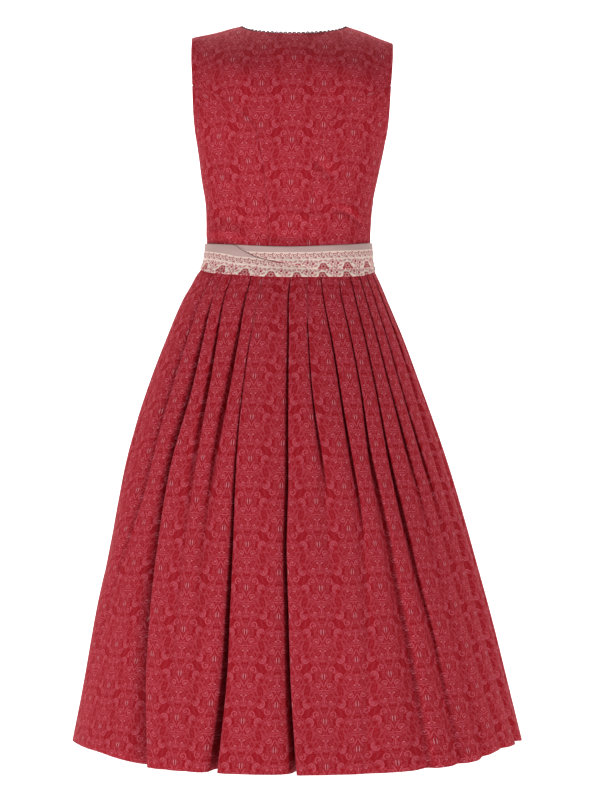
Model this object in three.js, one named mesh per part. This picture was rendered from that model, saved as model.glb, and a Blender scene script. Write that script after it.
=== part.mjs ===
// Sleeveless pleated folk dress in its worn, hollow form: a fitted bodice with back princess seams,
// a knife-pleated skirt sewn on at the waist, a picot neck edging and a sash tied in front.
// Millimetres. The origin lies midway between the neck ends of the shoulder seams;
// +X is the wearer's right, +Y the wearer's front, +Z up.
import * as THREE from "three";

// ---------- driving dimensions ----------
const CLOTH = 1.6;             // wall of the dress cloth
const SASH_CLOTH = 1.2;        // wall of the sash
const SEAM_GAP = 0.3;          // gap between neighbouring pieces
const LAYER_GAP = 0.8;         // air between a sash layer and what it lies on
const WAIST_Z = -375;          // seam between bodice and skirt
const HEM_Z = -1146;
const NECK_HALF = 82;          // neck opening, half width at the shoulder seams
const BACK_NECK_DROP = 17;
const FRONT_NECK_DROP = 165;
const SHOULDER_ROUND = 95;     // drop over which the cloth rounds from shoulder seam to torso
const SHOULDER_POWER = 1.9;    // 2 would round it as an arc, less is flatter
const UNDERARM_Z = -194;
const ARMHOLE_RISE = 78;       // height over which the armhole edge swings out to its full reach
const ARMHOLE_REACH = 0.46;    // depth of the armhole edge as a share of the torso's depth
const CHEST_SHARE = 0.95;      // front width at mid armhole as a share of the back width
const BUST = { x: 84, z: -236, rise: 15, wide: 52, high: 58 };
const TRIM_WIDTH = 3.6;
const KNOT = { width: 50, height: 46, depth: 20, z: -372, stand: 1.5 };  // stand: off the leaning band
const SASH_END = { width: 44, length: 165, gap: 3, fan: 15.4, tuck: 4 };  // fan: outward at the tip

const DRESS_RED = 0xa62a38;
const TRIM_RED = 0x8a2433;
const SASH_CREAM = 0xcdb0a4;

// Sections of the dress: cloth edge to the left and right of the centre line as seen from behind,
// depth behind and in front of the side seams, and the squareness of the section.
const SECTIONS = [
  { z: 20, left: 163, right: 158, back: 64, front: 50, square: 2.35 },
  { z: -20, left: 163, right: 158, back: 76, front: 62, square: 2.35 },
  { z: -53, left: 163, right: 157, back: 86, front: 78, square: 2.35 },
  { z: -91, left: 162, right: 155, back: 94, front: 90, square: 2.35 },
  { z: -130, left: 160, right: 152, back: 98, front: 98, square: 2.35 },
  { z: -168, left: 158, right: 149, back: 98, front: 105, square: 2.35 },
  { z: -194, left: 155, right: 144.5, back: 97, front: 108, square: 2.35 },
  { z: -219, left: 150.5, right: 139, back: 95, front: 109, square: 2.35 },
  { z: -245, left: 147, right: 134, back: 92, front: 106, square: 2.35 },
  { z: -296, left: 141, right: 125, back: 85, front: 95, square: 2.35 },
  { z: -341, left: 139.5, right: 122.5, back: 81, front: 85, square: 2.35 },
  { z: -375, left: 143, right: 124.5, back: 84, front: 87, square: 2.35 },
  { z: -386, left: 147, right: 126.5, back: 86.5, front: 89, square: 2.3 },
  { z: -398, left: 156, right: 132, back: 91, front: 93, square: 2.25 },
  { z: -413, left: 164, right: 139, back: 98, front: 99, square: 2.2 },
  { z: -437, left: 178, right: 149, back: 109, front: 107, square: 2.15 },
  { z: -501, left: 205, right: 176, back: 132, front: 126, square: 2.05 },
  { z: -565, left: 229, right: 200, back: 152, front: 143, square: 2 },
  { z: -645, left: 255, right: 228, back: 176, front: 163, square: 2 },
  { z: -725, left: 275, right: 254, back: 196, front: 181, square: 2 },
  { z: -821, left: 293, right: 283, back: 219, front: 203, square: 2 },
  { z: -917, left: 312, right: 309, back: 240, front: 224, square: 2 },
  { z: -1045, left: 336, right: 341, back: 265, front: 250, square: 2 },
  { z: -1150, left: 356, right: 369, back: 286, front: 270, square: 2 },
];

// Shoulder line from the left tip over the neck to the right tip.
const SHOULDER_LINE = [
  { x: -166, z: -19 },
  { x: -125, z: -9 },
  { x: -82, z: 0 },
  { x: 0, z: 12 },
  { x: 82, z: 0 },
  { x: 122, z: -13 },
  { x: 162, z: -29 },
];
const LEFT_TIP_X = -163;       // outer ends of the shoulder seams
const RIGHT_TIP_X = 158;

// Back princess seams: half the width of the centre back panel at each height.
const PRINCESS_SEAM = [
  { z: -375, half: 28 },
  { z: -356, half: 29 },
  { z: -309, half: 32 },
  { z: -255, half: 38 },
  { z: -200, half: 47.5 },
  { z: -177, half: 53 },
  { z: -165, half: 60 },
  { z: -149, half: 77 },
  { z: -129, half: 100 },
  { z: -118, half: 119 },
  { z: -108, half: 140 },
  { z: -101, half: 153 },
];
const PRINCESS_TOP = -101;     // the seam runs out into the armhole here

// Pleats in order round the waist, by the angle of each fold's valley: 0 is centre back, 90 the
// right side, 180 centre front. Every fold opens to the same hand. Angles at waist, hip, thigh,
// knee, shin and hem; depth of the fold at hip, knee and hem; run of its rising side in degrees.
const ANGLE_HEIGHTS = { waist: -420, hip: -566, thigh: -704, knee: -840, shin: -975, hem: HEM_Z };
const DEPTH_HEIGHTS = { deepTop: -400, deepHip: -566, deepKnee: -840, deepHem: HEM_Z };
const WAIST_FOLD_DEPTH = 2.2;
const PLEATS = [
  { waist: -71, hip: -72, thigh: -76, knee: -84, shin: -92, hem: -101,
    deepHip: 7, deepKnee: 14, deepHem: 24, rise: 2 },
  { waist: -52.8, hip: -53.2, thigh: -55, knee: -62.6, shin: -69.8, hem: -80.5,
    deepHip: 10, deepKnee: 24, deepHem: 42, rise: 1.5 },
  { waist: -43, hip: -41.1, thigh: -44.1, knee: -45.5, shin: -43.8, hem: -39,
    deepHip: 13, deepKnee: 15, deepHem: 12, rise: 1.5 },
  { waist: -35, hip: -33, thigh: -33.8, knee: -34.5, shin: -34.5, hem: -33,
    deepHip: 7, deepKnee: 3, deepHem: 2, rise: 3 },
  { waist: -21, hip: -23.2, thigh: -26.2, knee: -28, shin: -28, hem: -27.5,
    deepHip: 8, deepKnee: 4, deepHem: 2, rise: 3 },
  { waist: -14.5, hip: -16, thigh: -16.7, knee: -17.5, shin: -17.9, hem: -20.5,
    deepHip: 9, deepKnee: 21, deepHem: 36, rise: 2 },
  { waist: 3, hip: 1.3, thigh: 0.3, knee: -1.3, shin: -0.9, hem: 0.1,
    deepHip: 14, deepKnee: 26, deepHem: 42, rise: 1.5 },
  { waist: 12.3, hip: 11.7, thigh: 12.3, knee: 12, shin: 11, hem: 9.5,
    deepHip: 7, deepKnee: 3, deepHem: 2, rise: 3 },
  { waist: 22.2, hip: 23.8, thigh: 23.6, knee: 22.2, shin: 20, hem: 16.5,
    deepHip: 10, deepKnee: 6, deepHem: 3, rise: 2 },
  { waist: 33.8, hip: 33.3, thigh: 30.5, knee: 30.4, shin: 31.4, hem: 24,
    deepHip: 9, deepKnee: 18, deepHem: 27, rise: 4 },
  { waist: 43.7, hip: 40.9, thigh: 39.1, knee: 38, shin: 41.6, hem: 42,
    deepHip: 14, deepKnee: 15, deepHem: 8, rise: 1.5 },
  { waist: 52.3, hip: 49.3, thigh: 48.8, knee: 47.6, shin: 49.5, hem: 52.5,
    deepHip: 9, deepKnee: 8, deepHem: 14, rise: 2 },
  { waist: 61, hip: 57.5, thigh: 57.2, knee: 55.5, shin: 58, hem: 62,
    deepHip: 7, deepKnee: 7, deepHem: 5, rise: 3 },
  { waist: 72, hip: 69, thigh: 68, knee: 68, shin: 71, hem: 75,
    deepHip: 8, deepKnee: 14, deepHem: 20, rise: 2 },
  { waist: 83, hip: 81, thigh: 80, knee: 80, shin: 82, hem: 86,
    deepHip: 9, deepKnee: 12, deepHem: 12, rise: 2 },
  { waist: 98, hip: 98, thigh: 98, knee: 99, shin: 101, hem: 103,
    deepHip: 11, deepKnee: 22, deepHem: 36, rise: 2 },
  { waist: 109, hip: 110, thigh: 111, knee: 112, shin: 112, hem: 113,
    deepHip: 8, deepKnee: 7, deepHem: 4, rise: 3 },
  { waist: 119, hip: 119, thigh: 120, knee: 122, shin: 124, hem: 127,
    deepHip: 12, deepKnee: 18, deepHem: 22, rise: 2 },
  { waist: 131, hip: 132, thigh: 133, knee: 134, shin: 135, hem: 136,
    deepHip: 7, deepKnee: 5, deepHem: 3, rise: 3 },
  { waist: 140, hip: 141, thigh: 142, knee: 144, shin: 147, hem: 151,
    deepHip: 11, deepKnee: 24, deepHem: 38, rise: 2 },
  { waist: 152, hip: 153, thigh: 155, knee: 157, shin: 159, hem: 160,
    deepHip: 9, deepKnee: 6, deepHem: 4, rise: 3 },
  { waist: 163, hip: 164, thigh: 165, knee: 167, shin: 168, hem: 169,
    deepHip: 10, deepKnee: 12, deepHem: 10, rise: 2 },
  { waist: 174, hip: 175, thigh: 177, knee: 179, shin: 180, hem: 181,
    deepHip: 13, deepKnee: 25, deepHem: 40, rise: 2 },
  { waist: 186, hip: 187, thigh: 188, knee: 189, shin: 190, hem: 191,
    deepHip: 7, deepKnee: 5, deepHem: 3, rise: 3 },
  { waist: 196, hip: 197, thigh: 198, knee: 200, shin: 201, hem: 203,
    deepHip: 11, deepKnee: 16, deepHem: 18, rise: 2 },
  { waist: 207, hip: 208, thigh: 209, knee: 209, shin: 210, hem: 210,
    deepHip: 8, deepKnee: 5, deepHem: 3, rise: 3 },
  { waist: 218, hip: 217, thigh: 217, knee: 218, shin: 219, hem: 221,
    deepHip: 12, deepKnee: 23, deepHem: 34, rise: 2 },
  { waist: 230, hip: 229, thigh: 228, knee: 227, shin: 226, hem: 226,
    deepHip: 8, deepKnee: 6, deepHem: 4, rise: 3 },
  { waist: 241, hip: 240, thigh: 237, knee: 235, shin: 234, hem: 233,
    deepHip: 9, deepKnee: 10, deepHem: 9, rise: 2 },
  { waist: 253, hip: 251, thigh: 248, knee: 244, shin: 242, hem: 241,
    deepHip: 10, deepKnee: 20, deepHem: 30, rise: 2 },
  { waist: 268, hip: 266, thigh: 262, knee: 257, shin: 251, hem: 249,
    deepHip: 8, deepKnee: 8, deepHem: 6, rise: 3 },
];
// The hem rises towards the sides, by the angle round the body.
const HEM_RISE = [
  { angle: -110, rise: 0 },
  { angle: -90, rise: 4 },
  { angle: -75, rise: 12 },
  { angle: -60, rise: 12 },
  { angle: -48, rise: 6 },
  { angle: -35, rise: 0 },
  { angle: 20, rise: 0 },
  { angle: 48, rise: 4 },
  { angle: 60, rise: 13 },
  { angle: 75, rise: 14 },
  { angle: 90, rise: 6 },
  { angle: 110, rise: 0 },
];
const DIP_SHARE = 0.62;        // share of a panel's width that dips under the next fold
const LEFT_SEAM_AFTER = 30;    // the left side seam lies on the panel after this pleat
const RIGHT_SEAM_AFTER = 14;

const SKIRT_ROWS = [WAIST_Z, -388, -402, -422, -470, -540, -620, -720, -830, -980, HEM_Z];
const BODICE_ROWS = [
  WAIST_Z, -348, -318, -280, -240, -212, -194, -175, -165, -161, -151, -137, -123, -111, PRINCESS_TOP,
];
const YOKE_ROWS = 6;           // rows from the princess seam's top to the shoulder
const SHOULDER_COLUMNS = 4;
const NECK_COLUMNS = 6;
const SIDE_BACK_COLUMNS = 4;
const FRONT_NECK_COLUMNS = 4;

const UP = new THREE.Vector3(0, 0, 1);
const RAD = Math.PI / 180;

// ---------- interpolation ----------
// Slope at knot i of a smooth curve that never overshoots its knots.
function knotSlope(points, i) {
  if (i === 0 || i === points.length - 1) {
    const a = i === 0 ? 0 : i - 1;
    return (points[a + 1][1] - points[a][1]) / (points[a + 1][0] - points[a][0]);
  }
  const before = (points[i][1] - points[i - 1][1]) / (points[i][0] - points[i - 1][0]);
  const after = (points[i + 1][1] - points[i][1]) / (points[i + 1][0] - points[i][0]);
  return before * after <= 0 ? 0 : (2 * before * after) / (before + after);
}

// Smooth value at t through [key, value] pairs with rising keys.
function smooth(points, t) {
  const last = points.length - 1;
  if (t <= points[0][0]) return points[0][1];
  if (t >= points[last][0]) return points[last][1];
  let i = 0;
  while (points[i + 1][0] < t) i += 1;
  const span = points[i + 1][0] - points[i][0];
  const u = (t - points[i][0]) / span;
  const start = knotSlope(points, i) * span;
  const end = knotSlope(points, i + 1) * span;
  const jump = points[i + 1][1] - points[i][1];
  const square = 3 * jump - 2 * start - end;
  const cube = start + end - 2 * jump;
  return points[i][1] + u * (start + u * (square + u * cube));
}

const column = (table, key, name) => {
  const pairs = table.map((row) => [row[key], row[name]]);
  return pairs.sort((a, b) => a[0] - b[0]);
};
const COLUMNS = Object.fromEntries(
  ["left", "right", "back", "front", "square"].map((name) => [name, column(SECTIONS, "z", name)]),
);
const SHOULDER = column(SHOULDER_LINE, "x", "z");
const PRINCESS = column(PRINCESS_SEAM, "z", "half");
const RISE = column(HEM_RISE, "angle", "rise");

const mix = (a, b, t) => a + (b - a) * t;
const clamp01 = (t) => Math.min(1, Math.max(0, t));

// ---------- form of the dress ----------
// Share of the torso's half width that the cloth covers: 1 below the armholes.
function cover(z, square) {
  const t = clamp01((z - UNDERARM_Z) / ARMHOLE_RISE);
  const reach = ARMHOLE_REACH * Math.sqrt(1 - (1 - t) ** 2);
  return (1 - reach ** square) ** (1 / square);
}

// Section at height z: centre, half width, depths and squareness.
function sectionAt(z) {
  const left = smooth(COLUMNS.left, z);
  const right = smooth(COLUMNS.right, z);
  const square = smooth(COLUMNS.square, z);
  const share = z > UNDERARM_Z ? cover(z, square) : 1;
  return {
    centre: (right - left) / 2,
    edge: (right + left) / 2,
    half: (right + left) / 2 / share,
    back: smooth(COLUMNS.back, z),
    front: smooth(COLUMNS.front, z),
    square,
  };
}

// How far the section has filled out at a drop below the shoulder line, 0 at the line and 1 below it.
function shoulderFill(x, z) {
  const drop = clamp01((smooth(SHOULDER, x) - z) / SHOULDER_ROUND);
  return (1 - (1 - drop) ** SHOULDER_POWER) ** (1 / SHOULDER_POWER);
}

// Rise of the bust cups on the front.
function bustRise(x, z) {
  const across = (Math.abs(x) - BUST.x) / BUST.wide;
  const along = (z - BUST.z) / BUST.high;
  return BUST.rise * Math.exp(-across * across - along * along);
}

// Point of the dress surface at x and z on the back (side -1) or the front (side +1).
function surfacePoint(side, x, z) {
  const s = sectionAt(z);
  const share = Math.min(1, Math.abs((x - s.centre) / s.half));
  const depth = (side < 0 ? s.back : s.front) * (1 - share ** s.square) ** (1 / s.square);
  const cups = side > 0 ? bustRise(x - s.centre, z) * Math.min(1, depth / s.front * 2) : 0;
  return new THREE.Vector3(x, side * (depth + cups) * shoulderFill(x, z), z);
}

// Outward normal of the dress surface, level at the side seams and upright on the shoulder seams.
function surfaceNormal(side, x, z) {
  const step = 0.8;
  const s = sectionAt(z);
  if (smooth(SHOULDER, x) - z < step) {
    const slope = (smooth(SHOULDER, x + step) - smooth(SHOULDER, x - step)) / (2 * step);
    return new THREE.Vector3(-slope, 0, 1).normalize();
  }
  if (s.half - Math.abs(x - s.centre) < 0.05) {
    const lean = (sectionAt(z + step).half - sectionAt(z - step).half) / (2 * step);
    return new THREE.Vector3(Math.sign(x - s.centre), 0, -lean).normalize();
  }
  const dx = Math.min(step, s.half - Math.abs(x - s.centre)) * 0.5;
  const across = surfacePoint(side, x + dx, z).sub(surfacePoint(side, x - dx, z));
  const up = surfacePoint(side, x, z + step).sub(surfacePoint(side, x, z - step));
  return across.cross(up).normalize().multiplyScalar(-side);
}

// Point on the section at a compass angle round the body, with its outward normal.
function ringPoint(angle, z) {
  const s = sectionAt(z);
  const across = Math.sin(angle * RAD);
  const side = Math.cos(angle * RAD) > 0 ? -1 : 1;
  const depth = (side < 0 ? s.back : s.front) * (1 - Math.abs(across) ** s.square) ** (1 / s.square);
  return new THREE.Vector3(s.centre + s.half * across, side * depth, z);
}

function ringNormal(angle, z) {
  const around = ringPoint(angle + 0.5, z).sub(ringPoint(angle - 0.5, z));
  const up = ringPoint(angle, z + 2).sub(ringPoint(angle, z - 2));
  return around.cross(up).normalize();
}

// ---------- walls ----------
// Closed wall between two grids of points, given row by row; a closed grid joins its ends.
function wallGeometry(outer, inner, closed = false) {
  const rows = outer.length;
  const columns = outer[0].length;
  const positions = [];
  for (const grid of [outer, inner]) {
    for (const row of grid) {
      for (const p of row) positions.push(p.x, p.y, p.z);
    }
  }
  const at = (layer, r, c) => (layer * rows + r) * columns + (c % columns);
  const index = [];
  const quad = (a, b, c, d) => index.push(a, b, c, a, c, d);
  const spans = closed ? columns : columns - 1;
  for (let c = 0; c < spans; c += 1) {
    for (let r = 0; r < rows - 1; r += 1) {
      quad(at(0, r, c), at(0, r, c + 1), at(0, r + 1, c + 1), at(0, r + 1, c));
      quad(at(1, r, c), at(1, r + 1, c), at(1, r + 1, c + 1), at(1, r, c + 1));
    }
    quad(at(0, 0, c), at(1, 0, c), at(1, 0, c + 1), at(0, 0, c + 1));
    quad(at(0, rows - 1, c), at(0, rows - 1, c + 1), at(1, rows - 1, c + 1), at(1, rows - 1, c));
  }
  for (let r = 0; !closed && r < rows - 1; r += 1) {
    quad(at(0, r, 0), at(0, r + 1, 0), at(1, r + 1, 0), at(1, r, 0));
    quad(at(0, r, columns - 1), at(1, r, columns - 1), at(1, r + 1, columns - 1), at(0, r + 1, columns - 1));
  }
  const geometry = new THREE.BufferGeometry();
  geometry.setAttribute("position", new THREE.Float32BufferAttribute(positions, 3));
  geometry.setIndex(index);
  if (volume(geometry) < 0) geometry.setIndex(index.reverse());
  geometry.computeVertexNormals();
  return geometry;
}

function volume(geometry) {
  const p = geometry.getAttribute("position");
  const index = geometry.getIndex();
  const corner = (i) => new THREE.Vector3().fromBufferAttribute(p, index.getX(i));
  let sum = 0;
  for (let i = 0; i < index.count; i += 3) sum += corner(i).dot(corner(i + 1).cross(corner(i + 2)));
  return sum / 6;
}

// Moves the points of one grid edge into the piece by half a seam gap, at right angles to the edge.
// pick(i) gives the edge's grid cell [row, column] and its neighbour inside the piece.
function insetEdge(grids, count, pick) {
  const moves = [];
  for (let i = 0; i < count; i += 1) {
    const [edge, inside] = pick(i);
    const before = pick(Math.max(0, i - 1))[0];
    const after = pick(Math.min(count - 1, i + 1))[0];
    const along = grids[0][after[0]][after[1]].clone().sub(grids[0][before[0]][before[1]]).normalize();
    const into = grids[0][inside[0]][inside[1]].clone().sub(grids[0][edge[0]][edge[1]]);
    into.addScaledVector(along, -into.dot(along)).normalize();
    moves.push([edge, into]);
  }
  for (const [cell, into] of moves) {
    for (const grid of grids) grid[cell[0]][cell[1]].addScaledVector(into, SEAM_GAP / 2);
  }
}

// Cloth piece of the bodice from its net of [x, z] points; seams names the edges that are sewn.
function bodiceGeometry(side, net, seams) {
  const outer = net.map((row) => row.map(([x, z]) => surfacePoint(side, x, z)));
  const inner = net.map((row, r) => row.map(([x, z], c) => (
    outer[r][c].clone().addScaledVector(surfaceNormal(side, x, z), -CLOTH))));
  const rows = net.length;
  const columns = net[0].length;
  const grids = [outer, inner];
  if (seams.first) insetEdge(grids, rows, (i) => [[i, 0], [i, 1]]);
  if (seams.last) insetEdge(grids, rows, (i) => [[i, columns - 1], [i, columns - 2]]);
  if (seams.waist) insetEdge(grids, columns, (i) => [[0, i], [1, i]]);
  for (const [from, to] of seams.top ?? []) {
    insetEdge(grids, to - from + 1, (i) => [[rows - 1, from + i], [rows - 2, from + i]]);
  }
  return wallGeometry(outer, inner);
}

// ---------- bodice ----------
const seamX = (z, hand) => sectionAt(z).centre + hand * smooth(PRINCESS, z);
const backNeckZ = (x) => -BACK_NECK_DROP * Math.sqrt(Math.max(0, 1 - (x / NECK_HALF) ** 2));
const frontNeckX = (z) => NECK_HALF * Math.sqrt(Math.max(0, 1 - (z / FRONT_NECK_DROP) ** 2));
const tipX = (hand) => (hand < 0 ? LEFT_TIP_X : RIGHT_TIP_X);
const shoulderX = (hand, t) => hand * mix(NECK_HALF, Math.abs(tipX(hand)), t);

// Share of the torso's quarter turn spread evenly in angle, as a share of its width.
const evenShare = (from, to, t) => Math.sin(mix(Math.asin(from), Math.asin(to), t));

// Height of yoke row r as a share of the way to the top, closer together near the shoulder.
const yokeShare = (r) => 1 - (1 - r / YOKE_ROWS) ** 1.5;

// Rows of the centre back: seam to seam below, armhole to armhole above, then up to neck and shoulders.
function centreBackNet() {
  const columns = 2 * SHOULDER_COLUMNS + NECK_COLUMNS;
  const topX = (c) => {
    if (c <= SHOULDER_COLUMNS) return shoulderX(-1, 1 - c / SHOULDER_COLUMNS);
    const fromRightNeck = c - SHOULDER_COLUMNS - NECK_COLUMNS;
    if (fromRightNeck >= 0) return shoulderX(1, fromRightNeck / SHOULDER_COLUMNS);
    return -NECK_HALF * Math.cos(((c - SHOULDER_COLUMNS) / NECK_COLUMNS) * Math.PI);
  };
  const topZ = (x) => (Math.abs(x) < NECK_HALF - 0.01 ? backNeckZ(x) : smooth(SHOULDER, x));
  const net = BODICE_ROWS.map((z) => Array.from({ length: columns + 1 }, (_, c) => (
    [mix(seamX(z, -1), seamX(z, 1), c / columns), z])));
  for (let r = 1; r <= YOKE_ROWS; r += 1) {
    const v = yokeShare(r);
    net.push(Array.from({ length: columns + 1 }, (_, c) => {
      const z = mix(PRINCESS_TOP, topZ(topX(c)), v);
      const low = mix(-1, 1, c / columns);
      const s = sectionAt(z);
      const even = s.centre + low * s.edge;
      const rise = c === 0 || c === columns ? 0 : v;
      return [r === YOKE_ROWS ? topX(c) : mix(even, topX(c), rise), z];
    }));
  }
  return net;
}

function centreBack() {
  const columns = 2 * SHOULDER_COLUMNS + NECK_COLUMNS;
  const shoulders = [[0, SHOULDER_COLUMNS], [columns - SHOULDER_COLUMNS, columns]];
  return bodiceGeometry(-1, centreBackNet(), { waist: true, first: true, last: true, top: shoulders });
}

// Rows of a side back, from the princess seam to the side seam or the armhole edge.
function sideBack(hand) {
  const net = BODICE_ROWS.map((z) => {
    const s = sectionAt(z);
    const from = Math.abs(seamX(z, hand) - s.centre) / s.half;
    return Array.from({ length: SIDE_BACK_COLUMNS + 1 }, (_, c) => (
      [s.centre + hand * s.half * evenShare(from, s.edge / s.half, c / SIDE_BACK_COLUMNS), z]));
  });
  return bodiceGeometry(-1, net, { waist: true, first: true, last: true });
}

// Rows of a front, from centre front or the neckline to the side seam or the armhole edge.
function frontNet(hand) {
  const columns = SHOULDER_COLUMNS + FRONT_NECK_COLUMNS;
  const chest = (z) => mix(1, CHEST_SHARE, Math.sin(Math.PI * clamp01((z - UNDERARM_Z) / -UNDERARM_Z)));
  const at = (z, t) => {
    const s = sectionAt(z);
    const inner = z > -FRONT_NECK_DROP ? hand * frontNeckX(z) : 0;
    const from = (hand * (inner - s.centre)) / s.half;
    return s.centre + hand * s.half * evenShare(from, (chest(z) * s.edge) / s.half, t);
  };
  const net = BODICE_ROWS.map((z) => Array.from({ length: columns + 1 }, (_, c) => [at(z, c / columns), z]));
  for (let r = 1; r <= YOKE_ROWS; r += 1) {
    const v = yokeShare(r);
    net.push(Array.from({ length: columns + 1 }, (_, c) => {
      const top = shoulderX(hand, c / columns);
      const z = mix(PRINCESS_TOP, smooth(SHOULDER, top), v);
      const edge = c === 0 || c === columns;
      return [r === YOKE_ROWS ? top : mix(at(z, c / columns), top, edge ? 0 : v), z];
    }));
  }
  return net;
}

function front(hand) {
  const net = frontNet(hand);
  return bodiceGeometry(1, net, { waist: true, first: true, last: true, top: [[0, net[0].length - 1]] });
}

// ---------- neck edging ----------
// The neckline as [side, x, z] points: over the back from left to right, then round the front.
function necklinePoints() {
  const top = centreBackNet().at(-1);
  const back = top.slice(SHOULDER_COLUMNS, SHOULDER_COLUMNS + NECK_COLUMNS + 1);
  const scoop = (hand) => frontNet(hand).map((row) => row[0]).filter(([, z]) => z >= -FRONT_NECK_DROP);
  const right = scoop(1).reverse().slice(1);
  const left = scoop(-1).slice(1, -1);
  return [...back.map((p) => [-1, ...p]), ...right.map((p) => [1, ...p]), ...left.map((p) => [1, ...p])];
}

// A narrow closed band that stands on the neckline, continuing the cloth past its edge.
function neckTrim() {
  const line = necklinePoints();
  const count = line.length;
  const edge = line.map(([side, x, z]) => surfacePoint(side, x, z));
  const normal = line.map(([side, x, z]) => surfaceNormal(side, x, z));
  const outer = [[], []];
  const inner = [[], []];
  for (let i = 0; i < count; i += 1) {
    const along = edge[(i + 1) % count].clone().sub(edge[(i + count - 1) % count]).normalize();
    const out = normal[i].clone().addScaledVector(along, -normal[i].dot(along)).normalize();
    const past = out.clone().cross(along).normalize();
    for (const row of [0, 1]) {
      const reach = 2 * SEAM_GAP + row * TRIM_WIDTH;
      outer[row].push(edge[i].clone().addScaledVector(past, reach));
      inner[row].push(edge[i].clone().addScaledVector(past, reach).addScaledVector(out, -CLOTH));
    }
  }
  return wallGeometry(outer, inner, true);
}

// ---------- skirt ----------
const heightTable = (heights, row) => (
  Object.entries(heights).map(([name, z]) => [z, row[name]]).sort((a, b) => a[0] - b[0]));
const PLEAT_CURVES = PLEATS.map((pleat) => ({
  angle: heightTable(ANGLE_HEIGHTS, pleat),
  depth: heightTable(DEPTH_HEIGHTS, { ...pleat, deepTop: WAIST_FOLD_DEPTH }),
  rise: pleat.rise,
}));

// Valley angle, dip and rise of pleat k at height z; k may run past a whole turn.
function pleatAt(k, z) {
  const count = PLEATS.length;
  const turn = Math.floor(k / count);
  const curve = PLEAT_CURVES[k - turn * count];
  const fade = clamp01((WAIST_Z - z) / (WAIST_Z - DEPTH_HEIGHTS.deepTop));
  return {
    angle: smooth(curve.angle, z) + 360 * turn,
    rise: curve.rise,
    depth: smooth(curve.depth, z) * fade,
  };
}

// Height of a skirt row at an angle: level, but for the hem, which rises towards the sides.
function rowHeight(angle, z) {
  const wrapped = angle > 180 ? angle - 360 : angle;
  return z === HEM_Z ? z + smooth(RISE, wrapped) : z;
}

// Point of the skirt's outer face: the section's ring, let in by a depth.
function skirtPoint(angle, z, depth) {
  const height = rowHeight(angle, z);
  const flat = ringNormal(angle, height);
  flat.z = 0;
  return ringPoint(angle, height).addScaledVector(flat.normalize(), -depth);
}

// One row of the skirt round the whole body, with the column numbers of its side seams.
function skirtRow(z) {
  const points = [];
  const seams = {};
  for (let k = 0; k < PLEATS.length; k += 1) {
    const here = pleatAt(k, z);
    const crest = here.angle + here.rise;
    const next = pleatAt(k + 1, z);
    const dipStart = mix(next.angle, crest, DIP_SHARE);
    points.push(skirtPoint(here.angle, z, here.depth));
    points.push(skirtPoint(crest, z, 0));
    if (k === LEFT_SEAM_AFTER || k === RIGHT_SEAM_AFTER) {
      seams[k] = points.length;
      points.push(skirtPoint((crest + dipStart) / 2, z, 0));
    }
    if (k < RIGHT_SEAM_AFTER || k === PLEATS.length - 1) points.push(skirtPoint(dipStart, z, 0));
    points.push(skirtPoint(mix(next.angle, dipStart, 0.45), z, next.depth * 0.5));
  }
  return { points, seams };
}

// Points of a closed row moved in by the cloth's thickness, with mitred corners.
function insideRow(points) {
  const count = points.length;
  const side = (a, b) => new THREE.Vector3().subVectors(b, a).setZ(0).normalize().cross(UP);
  return points.map((p, i) => {
    const before = side(points[(i + count - 1) % count], p);
    const after = side(p, points[(i + 1) % count]);
    const corner = before.clone().add(after).normalize();
    return p.clone().addScaledVector(corner, -CLOTH / Math.max(0.5, corner.dot(after)));
  });
}

// Skirt panel between two seam columns, going round the body from the first to the second.
function skirtPanel(fromSeam, toSeam) {
  const outer = [];
  const inner = [];
  for (const z of SKIRT_ROWS) {
    const { points, seams } = skirtRow(z);
    const within = insideRow(points);
    const count = points.length;
    const from = seams[fromSeam];
    const width = (seams[toSeam] - from + count) % count;
    const pick = (row) => Array.from({ length: width + 1 }, (_, c) => row[(from + c) % count].clone());
    outer.push(pick(points));
    inner.push(pick(within));
  }
  const last = outer[0].length - 1;
  insetEdge([outer, inner], outer.length, (i) => [[i, 0], [i, 1]]);
  insetEdge([outer, inner], outer.length, (i) => [[i, last], [i, last - 1]]);
  for (const p of [...outer[0], ...inner[0]]) p.z -= SEAM_GAP / 2;
  return wallGeometry(outer, inner);
}

// ---------- sash ----------
// Top and bottom edge of the sash round the waist, lower at centre back than at the sides.
const SASH_EDGE = [
  { angle: -90, top: -347, bottom: -387 },
  { angle: -45, top: -353, bottom: -400 },
  { angle: 0, top: -357.5, bottom: -406 },
  { angle: 45, top: -353, bottom: -404 },
  { angle: 90, top: -347, bottom: -392 },
  { angle: 180, top: -350, bottom: -392 },
  { angle: 270, top: -347, bottom: -387 },
];
const SASH_TOP = column(SASH_EDGE, "angle", "top");
const SASH_BOTTOM = column(SASH_EDGE, "angle", "bottom");

// The line where the two back stretches meet: the left one below it, the right one above.
const CROSSING = [
  { angle: -38, z: -355 },
  { angle: -22, z: -369 },
  { angle: -9, z: -382 },
  { angle: 7, z: -389 },
  { angle: 22, z: -394 },
  { angle: 90, z: -385 },
];
const CROSSING_LINE = column(CROSSING, "angle", "z");
const UNDERLAP = 7;            // how far one stretch runs on under the other
const CROSSING_GAP = 1;        // from the line to the edge of each stretch
const LEAST_BAND = 4;          // least height of a stretch where it runs out
const LEFT_RUN = 12;           // degrees over which the left stretch gains its underlap
const RIGHT_RUN = 6;           // and the right one
const LIFT = SASH_CLOTH + LAYER_GAP;

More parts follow.
